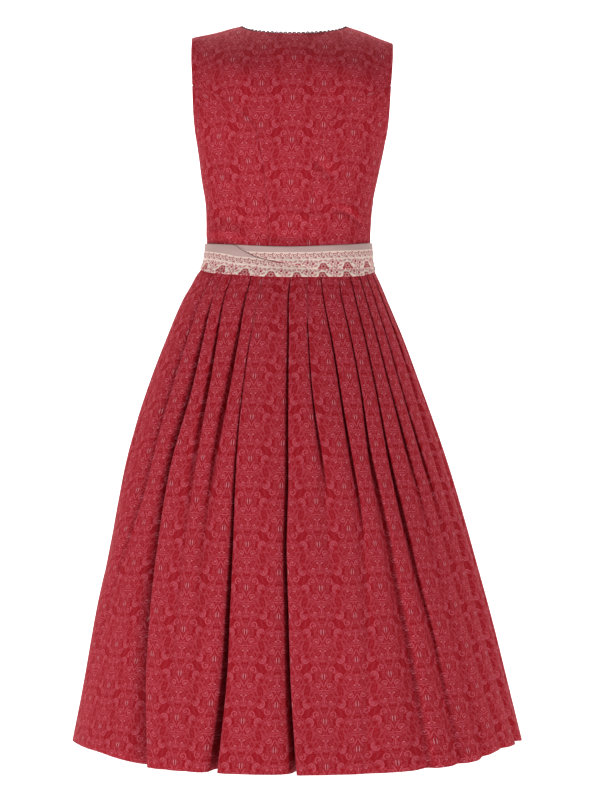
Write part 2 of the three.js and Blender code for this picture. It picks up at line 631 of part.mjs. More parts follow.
// Band on the dress between two angles; its edges and its extra lift are functions of the angle.
function bandGeometry({ from, to, steps, rows, top, bottom, lift, freeStart = false }) {
  const outer = [];
  const inner = [];
  for (let r = 0; r <= rows; r += 1) {
    outer.push([]);
    inner.push([]);
    for (let i = 0; i <= steps; i += 1) {
      const angle = mix(from, to, i / steps);
      const z = mix(top(angle), bottom(angle), r / rows);
      const base = ringPoint(angle, z);
      const normal = ringNormal(angle, z);
      const high = LIFT + lift(angle);
      outer[r].push(base.clone().addScaledVector(normal, high));
      inner[r].push(base.clone().addScaledVector(normal, high - SASH_CLOTH));
    }
  }
  if (!freeStart) insetEdge([outer, inner], rows + 1, (i) => [[i, 0], [i, 1]]);
  insetEdge([outer, inner], rows + 1, (i) => [[i, steps], [i, steps - 1]]);
  return wallGeometry(outer, inner);
}

const crossing = (angle) => smooth(CROSSING_LINE, angle);
const sashTop = (angle) => smooth(SASH_TOP, angle);
const sashBottom = (angle) => smooth(SASH_BOTTOM, angle);
const SWAP_START = -30;        // the left stretch lies on top up to here
const SWAP_END = -4;           // and below the right one from here
const swap = (angle) => clamp01((angle - SWAP_START) / (SWAP_END - SWAP_START));

function sashBackLeft() {
  const start = CROSSING[0].angle;
  return bandGeometry({
    from: -90,
    to: 90,
    steps: 30,
    rows: 3,
    top: (angle) => {
      const met = crossing(Math.max(start, angle)) - CROSSING_GAP;
      if (angle < start) return mix(met, sashTop(angle), clamp01((start - angle) / RIGHT_RUN));
      return met + UNDERLAP * clamp01((angle - SWAP_END) / LEFT_RUN);
    },
    bottom: sashBottom,
    lift: (angle) => LIFT * (1 - swap(angle)),
  });
}

function sashBackRight() {
  return bandGeometry({
    from: -48,
    to: 90,
    steps: 23,
    rows: 2,
    top: sashTop,
    bottom: (angle) => {
      const under = UNDERLAP * clamp01((SWAP_START - angle) / RIGHT_RUN);
      return Math.min(sashTop(angle) - LEAST_BAND, crossing(angle) + CROSSING_GAP - under);
    },
    lift: (angle) => LIFT * swap(angle),
    freeStart: true,
  });
}

function sashFront() {
  return bandGeometry({
    from: 90,
    to: 270,
    steps: 24,
    rows: 2,
    top: sashTop,
    bottom: sashBottom,
    lift: () => LIFT / 2,
  });
}

// A plump knot of the sash, resting on the front stretch.
function sashKnot() {
  const geometry = new THREE.SphereGeometry(0.5, 12, 8);
  geometry.scale(KNOT.width, KNOT.depth, KNOT.height);
  const seat = ringPoint(180, KNOT.z).addScaledVector(ringNormal(180, KNOT.z), 1.5 * LIFT + KNOT.stand);
  geometry.translate(seat.x, seat.y + KNOT.depth / 2, KNOT.z);
  return geometry;
}

// An end of the sash, hanging on the skirt below the knot.
function sashEnd(hand) {
  const start = sashBottom(180) - SASH_END.tuck;
  const rows = 5;
  const outer = [];
  const inner = [];
  for (let r = 0; r <= rows; r += 1) {
    const z = start - (SASH_END.length * r) / rows;
    outer.push([]);
    inner.push([]);
    for (let c = 0; c <= 2; c += 1) {
      const apart = SASH_END.gap + (SASH_END.fan * r) / rows;
      const x = hand * (apart + (SASH_END.width * c) / 2) + sectionAt(z).centre;
      const base = surfacePoint(1, x, z);
      const normal = surfaceNormal(1, x, z);
      outer[r].push(base.clone().addScaledVector(normal, LIFT));
      inner[r].push(base.clone().addScaledVector(normal, LAYER_GAP));
    }
  }
  return wallGeometry(outer, inner);
}

// ---------- the dress ----------
const group = new THREE.Group();
const cloth = (color, roughness) => new THREE.MeshStandardMaterial({ color, roughness, metalness: 0 });

function add(name, geometry, color, roughness = 0.85) {
  const mesh = new THREE.Mesh(geometry, cloth(color, roughness));
  mesh.name = name;
  group.add(mesh);
}

add("bodice_back_centre", centreBack(), DRESS_RED);
add("bodice_back_side_left", sideBack(-1), DRESS_RED);
add("bodice_back_side_right", sideBack(1), DRESS_RED);
add("bodice_front_left", front(-1), DRESS_RED);
add("bodice_front_right", front(1), DRESS_RED);
add("neck_trim", neckTrim(), TRIM_RED);
add("skirt_back", skirtPanel(LEFT_SEAM_AFTER, RIGHT_SEAM_AFTER), DRESS_RED);
add("skirt_front", skirtPanel(RIGHT_SEAM_AFTER, LEFT_SEAM_AFTER), DRESS_RED);
add("sash_back_left", sashBackLeft(), SASH_CREAM, 0.8);
add("sash_back_right", sashBackRight(), SASH_CREAM, 0.8);
add("sash_front", sashFront(), SASH_CREAM, 0.8);
add("sash_knot", sashKnot(), SASH_CREAM, 0.8);
add("sash_end_left", sashEnd(-1), SASH_CREAM, 0.8);
add("sash_end_right", sashEnd(1), SASH_CREAM, 0.8);

export default group;
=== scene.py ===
"""Sleeveless pleated folk dress in its worn form, dressed in printed cotton.

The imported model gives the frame: metres, +X the wearer's right, +Y the wearer's front, +Z up, with the
origin midway between the neck ends of the shoulder seams. Each cloth piece here is a thin shell on the
form of the solid it stands for, with its folds, seams, edges and print.
"""

from __future__ import annotations

import logging
import math
from collections.abc import Callable, Iterable
from dataclasses import dataclass, field
from enum import Enum

import bpy
import numpy as np
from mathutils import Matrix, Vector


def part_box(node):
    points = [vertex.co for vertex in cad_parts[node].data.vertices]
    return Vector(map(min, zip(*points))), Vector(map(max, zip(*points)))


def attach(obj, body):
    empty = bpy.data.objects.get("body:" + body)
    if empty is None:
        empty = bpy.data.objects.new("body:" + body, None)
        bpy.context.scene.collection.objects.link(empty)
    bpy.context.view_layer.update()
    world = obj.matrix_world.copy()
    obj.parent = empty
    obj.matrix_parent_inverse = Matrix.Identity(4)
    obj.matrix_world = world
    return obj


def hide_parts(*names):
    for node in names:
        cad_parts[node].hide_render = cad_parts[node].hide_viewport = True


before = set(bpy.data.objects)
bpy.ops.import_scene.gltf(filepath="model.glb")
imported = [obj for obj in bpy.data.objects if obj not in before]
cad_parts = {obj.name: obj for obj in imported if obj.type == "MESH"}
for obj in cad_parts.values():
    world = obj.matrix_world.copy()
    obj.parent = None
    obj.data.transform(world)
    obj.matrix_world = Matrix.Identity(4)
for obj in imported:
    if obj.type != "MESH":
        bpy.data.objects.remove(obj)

Array = np.ndarray
MM = 0.001
LOG = logging.getLogger("dress")

# ---------------------------------------------------------------- sizes shared by all pieces

WAIST_Z = -375.0  # seam between bodice and skirt
HEM_Z = -1146.0
NECK_HALF = 86.0  # neck opening, half width at the shoulder seams
BACK_NECK_DROP = 20.2
FRONT_NECK_DROP = 165.0
SHOULDER_ROUND = 95.0  # drop over which the cloth rounds from shoulder seam to torso
SHOULDER_POWER = 1.9
UNDERARM_Z = -194.0
ARMHOLE_RISE = 78.0  # height over which the armhole edge swings out to its full reach
ARMHOLE_REACH = 0.46  # depth of the armhole edge as a share of the torso's depth
CHEST_SHARE = 0.95  # front width at mid armhole as a share of the back width
CLOTH = 0.8  # thickness of the dress cotton
SASH_CLOTH = 0.7

# z, edge to the left, edge to the right, depth behind, depth in front, squareness
SECTIONS = (
    (20, 163, 158, 64, 50, 2.35),
    (-20, 163, 158, 76, 62, 2.35),
    (-53, 163, 157, 86, 78, 2.35),
    (-91, 162, 155, 94, 90, 2.35),
    (-130, 160, 152, 98, 98, 2.35),
    (-168, 158, 149, 98, 105, 2.35),
    (-194, 155, 144.5, 97, 108, 2.35),
    (-219, 150.5, 139, 95, 109, 2.35),
    (-245, 147, 134, 92, 106, 2.35),
    (-296, 141, 125, 85, 95, 2.35),
    (-341, 139.5, 122.5, 81, 85, 2.35),
    (-375, 143, 124.5, 84, 87, 2.35),
    (-386, 147, 126.5, 86.5, 89, 2.3),
    (-398, 156, 132, 91, 93, 2.25),
    (-413, 164, 139, 98, 99, 2.2),
    (-437, 178, 149, 109, 107, 2.15),
    (-501, 205, 176, 132, 126, 2.05),
    (-565, 229, 200, 152, 143, 2),
    (-645, 255, 228, 176, 163, 2),
    (-725, 275, 254, 196, 181, 2),
    (-821, 293, 283, 219, 203, 2),
    (-917, 312, 309, 240, 224, 2),
    (-1045, 336, 341, 265, 250, 2),
    (-1150, 356, 369, 286, 270, 2),
)
SHOULDER_LINE = ((-166, -19), (-125, -9), (-82, 0), (0, 12), (82, 0), (122, -13), (162, -29))
LEFT_TIP_X = -163.0
RIGHT_TIP_X = 158.0

# height, half width of the centre back panel between the princess seams
PRINCESS_SEAM = (
    (-375, 28), (-356, 29), (-309, 32), (-255, 38), (-200, 47.5), (-177, 53),
    (-165, 60), (-149, 77), (-129, 100), (-118, 119), (-108, 140), (-101, 156.5),
)
PRINCESS_TOP = -101.0

# Pleats round the waist by the angle of each fold (0 centre back, 90 right side, 180 centre front) at
# waist, hip, thigh, knee, shin and hem; fold depth at hip, knee and hem; and how knife-sharp the fold
# is at hip, knee and hem, from 0, a soft valley, to 1, a lapped edge.
ANGLE_HEIGHTS = (-420, -566, -704, -840, -975, HEM_Z)
FOLD_HEIGHTS = (-395, -566, -840, HEM_Z)
PLEATS = (
    # waist, hip, thigh, knee, shin, hem, | depth hip, knee, hem | sharp hip, knee, hem
    (-71, -72, -76, -84, -92, -101, 7, 12, 18, 1.0, 0.7, 0.5),
    (-52.8, -53.2, -55, -62.6, -69.8, -80.5, 18, 29, 34, 1.0, 1.0, 1.0),
    (-43, -41.1, -44.1, -45.5, -43.8, -39, 22, 34, 20, 1.0, 1.0, 0.8),
    (-35, -33, -33.8, -34.5, -34.5, -33, 11, 3, 2, 0.45, 0.0, 0.0),
    (-21, -23.2, -26.2, -28, -28, -27.5, 13, 5, 2, 0.35, 0.0, 0.0),
    (-14.5, -16, -16.7, -17.5, -17.9, -20.5, 14, 24, 36, 1.0, 0.9, 0.7),
    (3, 2.2, 1.3, -0.6, -0.6, 0.1, 14, 26, 42, 1.0, 1.0, 1.0),
    (12.3, 11.7, 12.3, 12, 11, 9.5, 10, 2, 1, 1.0, 0.0, 0.0),
    (22.2, 23.8, 23.6, 22.2, 20, 16.5, 13, 4, 2, 1.0, 0.2, 0.0),
    (33.8, 33.3, 31.3, 31.4, 32.4, 33, 9, 11, 9, 1.0, 0.0, 0.0),
    (43.7, 41.2, 39.6, 39.5, 41.6, 42.5, 13, 9, 6, 1.0, 0.4, 0.0),
    (52.3, 49.6, 48.8, 49, 50.5, 52.5, 8, 3, 5, 1.0, 0.0, 0.0),
    (61, 57.8, 57.2, 57.5, 59, 62, 9, 4, 4, 1.0, 0.0, 0.0),
    (72, 69, 68, 68, 71, 75, 4, 6, 8, 0.3, 0.0, 0.0),
    (83, 81, 80, 80, 82, 86, 4, 6, 8, 0.2, 0.0, 0.0),
    (98, 98, 98, 99, 101, 103, 11, 22, 36, 1.0, 0.8, 0.7),
    (109, 110, 111, 112, 112, 113, 8, 7, 4, 0.8, 0.2, 0.0),
    (119, 119, 120, 122, 124, 127, 12, 18, 22, 1.0, 0.9, 0.5),
    (131, 132, 133, 134, 135, 136, 7, 5, 3, 0.7, 0.0, 0.0),
    (140, 141, 142, 144, 147, 151, 11, 24, 38, 1.0, 0.8, 0.6),
    (152, 153, 155, 157, 159, 160, 9, 6, 4, 0.9, 0.4, 0.0),
    (163, 164, 165, 167, 168, 169, 10, 12, 10, 1.0, 0.7, 0.3),
    (174, 175, 177, 179, 180, 181, 13, 25, 40, 1.0, 1.0, 0.8),
    (186, 187, 188, 189, 190, 191, 7, 5, 3, 0.6, 0.0, 0.0),
    (196, 197, 198, 200, 201, 203, 11, 16, 18, 1.0, 0.8, 0.4),
    (207, 208, 209, 209, 210, 210, 8, 5, 3, 0.8, 0.2, 0.0),
    (218, 217, 217, 218, 219, 221, 12, 23, 34, 1.0, 0.9, 0.6),
    (230, 229, 228, 227, 226, 226, 8, 6, 4, 0.7, 0.2, 0.0),
    (241, 240, 237, 235, 234, 233, 9, 10, 9, 0.9, 0.5, 0.3),
    (253, 251, 248, 244, 242, 241, 10, 20, 30, 1.0, 0.8, 0.6),
    (268, 266, 262, 257, 251, 249, 8, 8, 6, 0.9, 0.4, 0.2),
)
# angle, height by which the hem rises there
HEM_RISE = (
    (-110, 0), (-90, 4), (-75, 12), (-60, 12), (-48, 6), (-35, 0),
    (20, 0), (48, 4), (60, 13), (75, 14), (90, 6), (110, 0),
)
WAIST_FOLD = 3.0  # depth of every fold where it leaves the sash
# pleat, height at which its fold opens
FOLD_STARTS = ((2, -428), (5, -482), (6, -400), (7, -462), (9, -405))
# pleat, open width at hip, knee and hem
FOLD_GAPS = ((1, 5, 10, 11), (2, 6, 8, 3), (5, 0, 1.5, 5))
LEFT_SEAM_AFTER = 30  # the left side seam lies on the panel after this pleat
RIGHT_SEAM_AFTER = 14

# angle round the waist, top edge, bottom edge of the sash
SASH_EDGES = (
    (-90, -347, -387), (-45, -353, -400), (0, -357.5, -406), (45, -353, -404),
    (90, -347, -392), (180, -350, -392), (270, -347, -387),
)
# angle, height: where the left back stretch meets the right one
CROSSING = ((-38, -356), (-22, -373), (-9, -381), (7, -388), (22, -394), (90, -385))
# angle, height of the scroll row printed on the left back stretch
LEFT_SCROLL_ROW = (
    (-90, -366), (-71, -368.4), (-56, -371.6), (-45, -375), (-37, -378.5), (-29, -380),
    (-14.5, -384.1), (0, -386.3), (10, -387), (30, -385), (60, -383), (90, -380),
)


# ---------------------------------------------------------------- curves and grids


def smooth_curve(keys: Array, values: Array, at: Array) -> Array:
    """Smooth value through a table that never overshoots it.

    Each knot's slope is the harmonic mean of the slopes beside it, or 0 at a turn, and a cubic joins
    the knots.

    Args:
        keys: Rising keys of the table.
        values: The table's values.
        at: Where the curve is wanted.

    Returns:
        The curve's values, in the shape of `at`.
    """
    keys, values = np.asarray(keys, float), np.asarray(values, float)
    span = np.diff(keys)
    slope = np.diff(values) / span
    tangent = np.zeros_like(values)
    before, after = slope[:-1], slope[1:]
    same = before * after > 0
    tangent[1:-1] = np.where(same, 2 * before * after / np.where(same, before + after, 1), 0)
    tangent[0], tangent[-1] = slope[0], slope[-1]
    at = np.clip(at, keys[0], keys[-1])
    i = np.clip(np.searchsorted(keys, at, side="right") - 1, 0, len(keys) - 2)
    u = (at - keys[i]) / span[i]
    start, end, jump = tangent[i] * span[i], tangent[i + 1] * span[i], values[i + 1] - values[i]
    return values[i] + u * (start + u * (3 * jump - 2 * start - end + u * (start + end - 2 * jump)))


def table_curve(table: tuple, column: int, at: Array) -> Array:
    """Smooth value of one column of a table against its first column, whichever way that runs."""
    rows = np.array(sorted(table), float)
    return smooth_curve(rows[:, 0], rows[:, column], at)


def clamp01(t: Array) -> Array:
    """The value held between 0 and 1."""
    return np.clip(t, 0.0, 1.0)


def ease(t: Array) -> Array:
    """Smooth step from 0 to 1, level at both ends."""
    t = clamp01(t)
    return t * t * (3 - 2 * t)


def edge_spread(count: int, pull: float = 0.45) -> Array:
    """Shares from 0 to 1, closer together near both ends.

    A straight run is mixed with half a cosine wave, and pull is the wave's share.

    Args:
        count: Number of shares.
        pull: How strongly they gather at the ends.

    Returns:
        The shares.
    """
    t = np.linspace(0, 1, count)
    return (1 - pull) * t + pull * (1 - np.cos(np.pi * t)) / 2


def bulge(share: Array, power: Array | float) -> Array:
    """Height of a rounded square of half size 1 at a share of its half width."""
    return (1 - share**power) ** (1 / power)


def unit(vectors: Array) -> Array:
    """Vectors scaled to length 1."""
    return vectors / np.maximum(np.linalg.norm(vectors, axis=-1, keepdims=True), 1e-12)


def grid_normals(points: Array) -> Array:
    """Normals of a grid, from the cross product of its central differences along rows and columns."""
    along, down = np.gradient(points, axis=1), np.gradient(points, axis=0)
    return unit(np.cross(along, down))


def run_length(points: Array, axis: int, parts: tuple[int, ...] = (0, 1, 2)) -> Array:
    """Length run along one axis of a grid, counting only some coordinates of its points."""
    steps = np.linalg.norm(np.diff(points[..., parts], axis=axis), axis=-1)
    zero = np.zeros_like(np.take(steps, [0], axis=axis))
    return np.cumsum(np.concatenate([zero, steps], axis=axis), axis=axis)


# ---------------------------------------------------------------- meshes


def mesh_object(name: str, points: Array, quads: Array, uv: Array, tint: Array) -> bpy.types.Object:
    """Makes an object at the origin from arrays of points and quads.

    Args:
        name: Name of the object and its mesh.
        points: Points in millimetres, (n, 3).
        quads: Four point numbers for each face, (m, 4).
        uv: Print coordinates of each point, in millimetres, (n, 2).
        tint: One number for each point, which the material reads.

    Returns:
        The new object, smooth shaded and with its faces outwards.
    """
    a, b, c, d = (points[quads[:, i]] for i in range(4))
    six_volumes = np.einsum("ij,ij->", a, np.cross(b, c)) + np.einsum("ij,ij->", a, np.cross(c, d))
    if six_volumes < 0:
        quads = quads[:, ::-1]
    mesh = bpy.data.meshes.new(name)
    mesh.vertices.add(len(points))
    mesh.vertices.foreach_set("co", (points * MM).astype(np.float32).ravel())
    mesh.loops.add(quads.size)
    mesh.loops.foreach_set("vertex_index", quads.ravel().astype(np.int32))
    mesh.polygons.add(len(quads))
    mesh.polygons.foreach_set("loop_start", np.arange(0, quads.size, 4, dtype=np.int32))
    mesh.polygons.foreach_set("use_smooth", np.ones(len(quads), bool))
    layer = mesh.uv_layers.new(name="print")
    layer.data.foreach_set("uv", (uv[quads.ravel()] * MM).astype(np.float32).ravel())
    attribute = mesh.attributes.new("tint", "FLOAT", "POINT")
    attribute.data.foreach_set("value", tint.astype(np.float32))
    mesh.update(calc_edges=True)
    mesh.validate()
    piece = bpy.data.objects.new(name, mesh)
    bpy.context.scene.collection.objects.link(piece)
    return piece


def grid_quads(number: Array) -> Array:
    """Quads between neighbouring rows and columns of a grid of point numbers, (..., rows, columns)."""
    corners = (number[..., :-1, :-1], number[..., :-1, 1:], number[..., 1:, 1:], number[..., 1:, :-1])
    return np.stack(corners, axis=-1).reshape(-1, 4)


def looped(number: Array, axis: int) -> Array:
    """Point numbers with the first ones repeated after the last along an axis."""
    return np.concatenate([number, np.take(number, [0], axis=axis)], axis=axis)


def turned(quads: Array) -> Array:
    """Quads facing the other way, each still starting at its first point."""
    return np.roll(quads[:, ::-1], 1, axis=1)


def shell_quads(rows: int, columns: int) -> Array:
    """Quads of a shell between an outer and an inner grid, with its four rims.

    Args:
        rows: Rows of each grid.
        columns: Columns of each grid.

    Returns:
        Point numbers of the quads; the inner grid follows the outer one.
    """
    outer = np.arange(rows * columns).reshape(rows, columns)
    pair = np.stack([outer, outer + rows * columns])
    faces = (grid_quads(outer), turned(grid_quads(pair[1])))
    rims = (
        turned(grid_quads(pair[:, 0])),
        grid_quads(pair[:, -1]),
        grid_quads(pair[:, :, 0]),
        turned(grid_quads(pair[:, :, -1])),
    )
    return np.concatenate([*faces, *rims])


def shell(name: str, outer: Array, uv: Array, thickness: float) -> bpy.types.Object:
    """Makes a thin closed shell of cloth from the grid of its outer face.

    The inner face is the outer one moved in along its normals, which are turned to point away from
    the body's axis.

    Args:
        name: Name of the piece.
        outer: Outer face, (rows, columns, 3), in millimetres.
        uv: Print coordinates, (rows, columns, 2), in millimetres.
        thickness: Thickness of the cloth.

    Returns:
        The new object; its tint is 0 outside and 1 inside.
    """
    rows, columns = outer.shape[:2]
    normals = grid_normals(outer)
    if np.sum(normals * outer * [1, 1, 0]) < 0:
        normals = -normals
    points = np.concatenate([outer.reshape(-1, 3), (outer - normals * thickness).reshape(-1, 3)])
    flat_uv = np.concatenate([uv.reshape(-1, 2)] * 2)
    tint = np.repeat([0.0, 1.0], rows * columns)
    return mesh_object(name, points, shell_quads(rows, columns), flat_uv, tint)


def tube_grid(path: Array, radius: Array, sides: int, first_side: Array) -> Array:
    """Rings of points round a path.

    Each ring lies in the plane of the path's side direction and the cross product of that with the
    path's own direction.

    Args:
        path: Points of the path, (..., n, 3).
        radius: Radius at each point, broadcast to (..., n).
        sides: Points in each ring.
        first_side: A unit direction across the path at each point, (..., n, 3).

    Returns:
        Points, (..., n, sides, 3).
    """
    tangent = unit(np.gradient(path, axis=-2))
    across = unit(first_side - tangent * np.sum(first_side * tangent, axis=-1, keepdims=True))
    third = np.cross(tangent, across)
    turn = np.linspace(0, 2 * np.pi, sides, endpoint=False)
    ring = across[..., None, :] * np.cos(turn)[:, None] + third[..., None, :] * np.sin(turn)[:, None]
    return path[..., None, :] + ring * np.asarray(radius)[..., None, None]


# ---------------------------------------------------------------- form of the dress


class Face(Enum):
    """Which half of the body a point lies on."""

    BACK = -1
    FRONT = 1


@dataclass(frozen=True)
class Bust:
    """Cups of the front, by their place, rise and spread."""

    x: float = 84.0
    z: float = -236.0
    rise: float = 15.0
    wide: float = 52.0
    high: float = 58.0

    def swell(self, x: Array, z: Array) -> Array:
        """Rise of the cups: a round hill on each side of the centre front."""
        across, along = (np.abs(x) - self.x) / self.wide, (z - self.z) / self.high
        return self.rise * np.exp(-(across**2) - along**2)


@dataclass(frozen=True)
class DressForm:
    """The body of the dress as level sections, from the section table."""

    bust: Bust = field(default_factory=Bust)

    def section(self, z: Array) -> dict[str, Array]:
        """Centre, cloth edge, torso half width, depths and squareness of the section at z.

        Above the underarm the cloth covers only part of the torso's width: its edge lies forward of
        the side by a share of the depth that grows as a quarter ellipse.
        """
        left, right, back, front, square = (table_curve(SECTIONS, column, z) for column in range(1, 6))
        t = clamp01((np.asarray(z) - UNDERARM_Z) / ARMHOLE_RISE)
        reach = ARMHOLE_REACH * np.sqrt(1 - (1 - t) ** 2)
        cover = bulge(reach, square)
        return {
            "centre": (right - left) / 2,
            "edge": (right + left) / 2,
            "half": (right + left) / 2 / cover,
            "back": back,
            "front": front,
            "square": square,
        }

    def shoulder(self, x: Array) -> Array:
        """Height of the shoulder line at x."""
        return table_curve(SHOULDER_LINE, 1, x)

    def fill(self, x: Array, z: Array) -> Array:
        """How far the section has filled out below the shoulder line, 0 at the line and 1 lower down."""
        drop = clamp01((self.shoulder(x) - z) / SHOULDER_ROUND)
        return bulge(1 - drop, SHOULDER_POWER)

    def torso(self, face: Face, x: Array, z: Array) -> Array:
        """Points of the bodice at x and z: a rounded square section, filled out below the shoulder."""
        s = self.section(z)
        share = np.minimum(1, np.abs((x - s["centre"]) / s["half"]))
        deep = s["back"] if face is Face.BACK else s["front"]
        depth = deep * bulge(share, s["square"])
        if face is Face.FRONT:
            depth = depth + self.bust.swell(x - s["centre"], z) * np.minimum(1, depth / s["front"] * 2)
        return np.stack([x + 0 * z, face.value * depth * self.fill(x, z), z + 0 * x], axis=-1)

    def ring(self, angle: Array, z: Array) -> Array:
        """Points on the section at a compass angle in degrees: x is the sine's share of the half width."""
        s = self.section(z)
        across, behind = np.sin(np.radians(angle)), np.cos(np.radians(angle)) > 0
        deep = np.where(behind, -s["back"], s["front"])
        depth = deep * bulge(np.minimum(1, np.abs(across)), s["square"])
        return np.stack([s["centre"] + s["half"] * across, depth, z + 0 * angle], axis=-1)

    def chord(self, angle: Array, z: Array, half: float) -> Array:
        """Step from the point some degrees before an angle to the one as far after it."""
        return self.ring(angle + half, z) - self.ring(angle - half, z)

    def ring_out(self, angle: Array, z: Array) -> Array:
        """Level outward direction of the section at an angle."""
        around = self.chord(angle, z, 0.4)
        return unit(np.stack([around[..., 1], -around[..., 0], 0 * around[..., 0]], axis=-1))

    def ring_normal(self, angle: Array, z: Array) -> Array:
        """Outward normal of the dress at an angle and height."""
        around = self.chord(angle, z, 0.5)
        up = self.ring(angle, z + 2) - self.ring(angle, z - 2)
        return unit(np.cross(around, up))


FORM = DressForm()


# ---------------------------------------------------------------- shader maths


def math_method(operation: str, swapped: bool = False) -> Callable[..., "Value"]:
    """Makes a method that adds one Math node.

    Args:
        operation: The node's operation.
        swapped: Whether the value is its last input instead of its first.

    Returns:
        The method.
    """

    def method(self: "Value", *others: "Value | float") -> "Value":
        """One Math node on this value and the others."""
        inputs = (*others, self) if swapped else (self, *others)
        return self.tree.value("ShaderNodeMath", {"operation": operation}, dict(enumerate(inputs)))

    return method


@dataclass(frozen=True)
class Value:
    """A number that varies over a surface; an expression on values adds its Math nodes."""

    tree: "ShaderTree"
    socket: bpy.types.NodeSocket

    __add__ = __radd__ = math_method("ADD")
    __sub__ = math_method("SUBTRACT")
    __rsub__ = math_method("SUBTRACT", swapped=True)
    __mul__ = __rmul__ = math_method("MULTIPLY")
    __truediv__ = math_method("DIVIDE")
    __pow__ = math_method("POWER")
    __abs__ = math_method("ABSOLUTE")
    __mod__ = math_method("FLOORED_MODULO")  # never negative
    either = math_method("MAXIMUM")  # the larger of two masks
    floor = math_method("FLOOR")
    sine = math_method("SINE")
    arctan2 = math_method("ARCTAN2")

    def ramp(self, edge: float, blur: float, low: float, high: float) -> "Value":
        """Value that goes from low to high over a ramp round the edge, as wide as blur."""
        ends = {"From Min": edge - blur / 2, "From Max": edge + blur / 2, "To Min": low, "To Max": high}
        return self.tree.value("ShaderNodeMapRange", {"clamp": True}, {"Value": self, **ends}, "Result")

    def below(self, edge: float, blur: float) -> "Value":
        """Soft mask: 1 under the edge and 0 over it."""
        return self.ramp(edge, blur, 1.0, 0.0)

    def above(self, edge: float, blur: float) -> "Value":
        """Soft mask: 1 over the edge and 0 under it."""
        return self.ramp(edge, blur, 0.0, 1.0)

    def folded(self, period: float) -> "Value":
        """Distance from the nearest whole number of periods, with its sign."""
        return (self + period / 2) % period - period / 2


Triple = tuple[float, float, float]
Colour = Triple


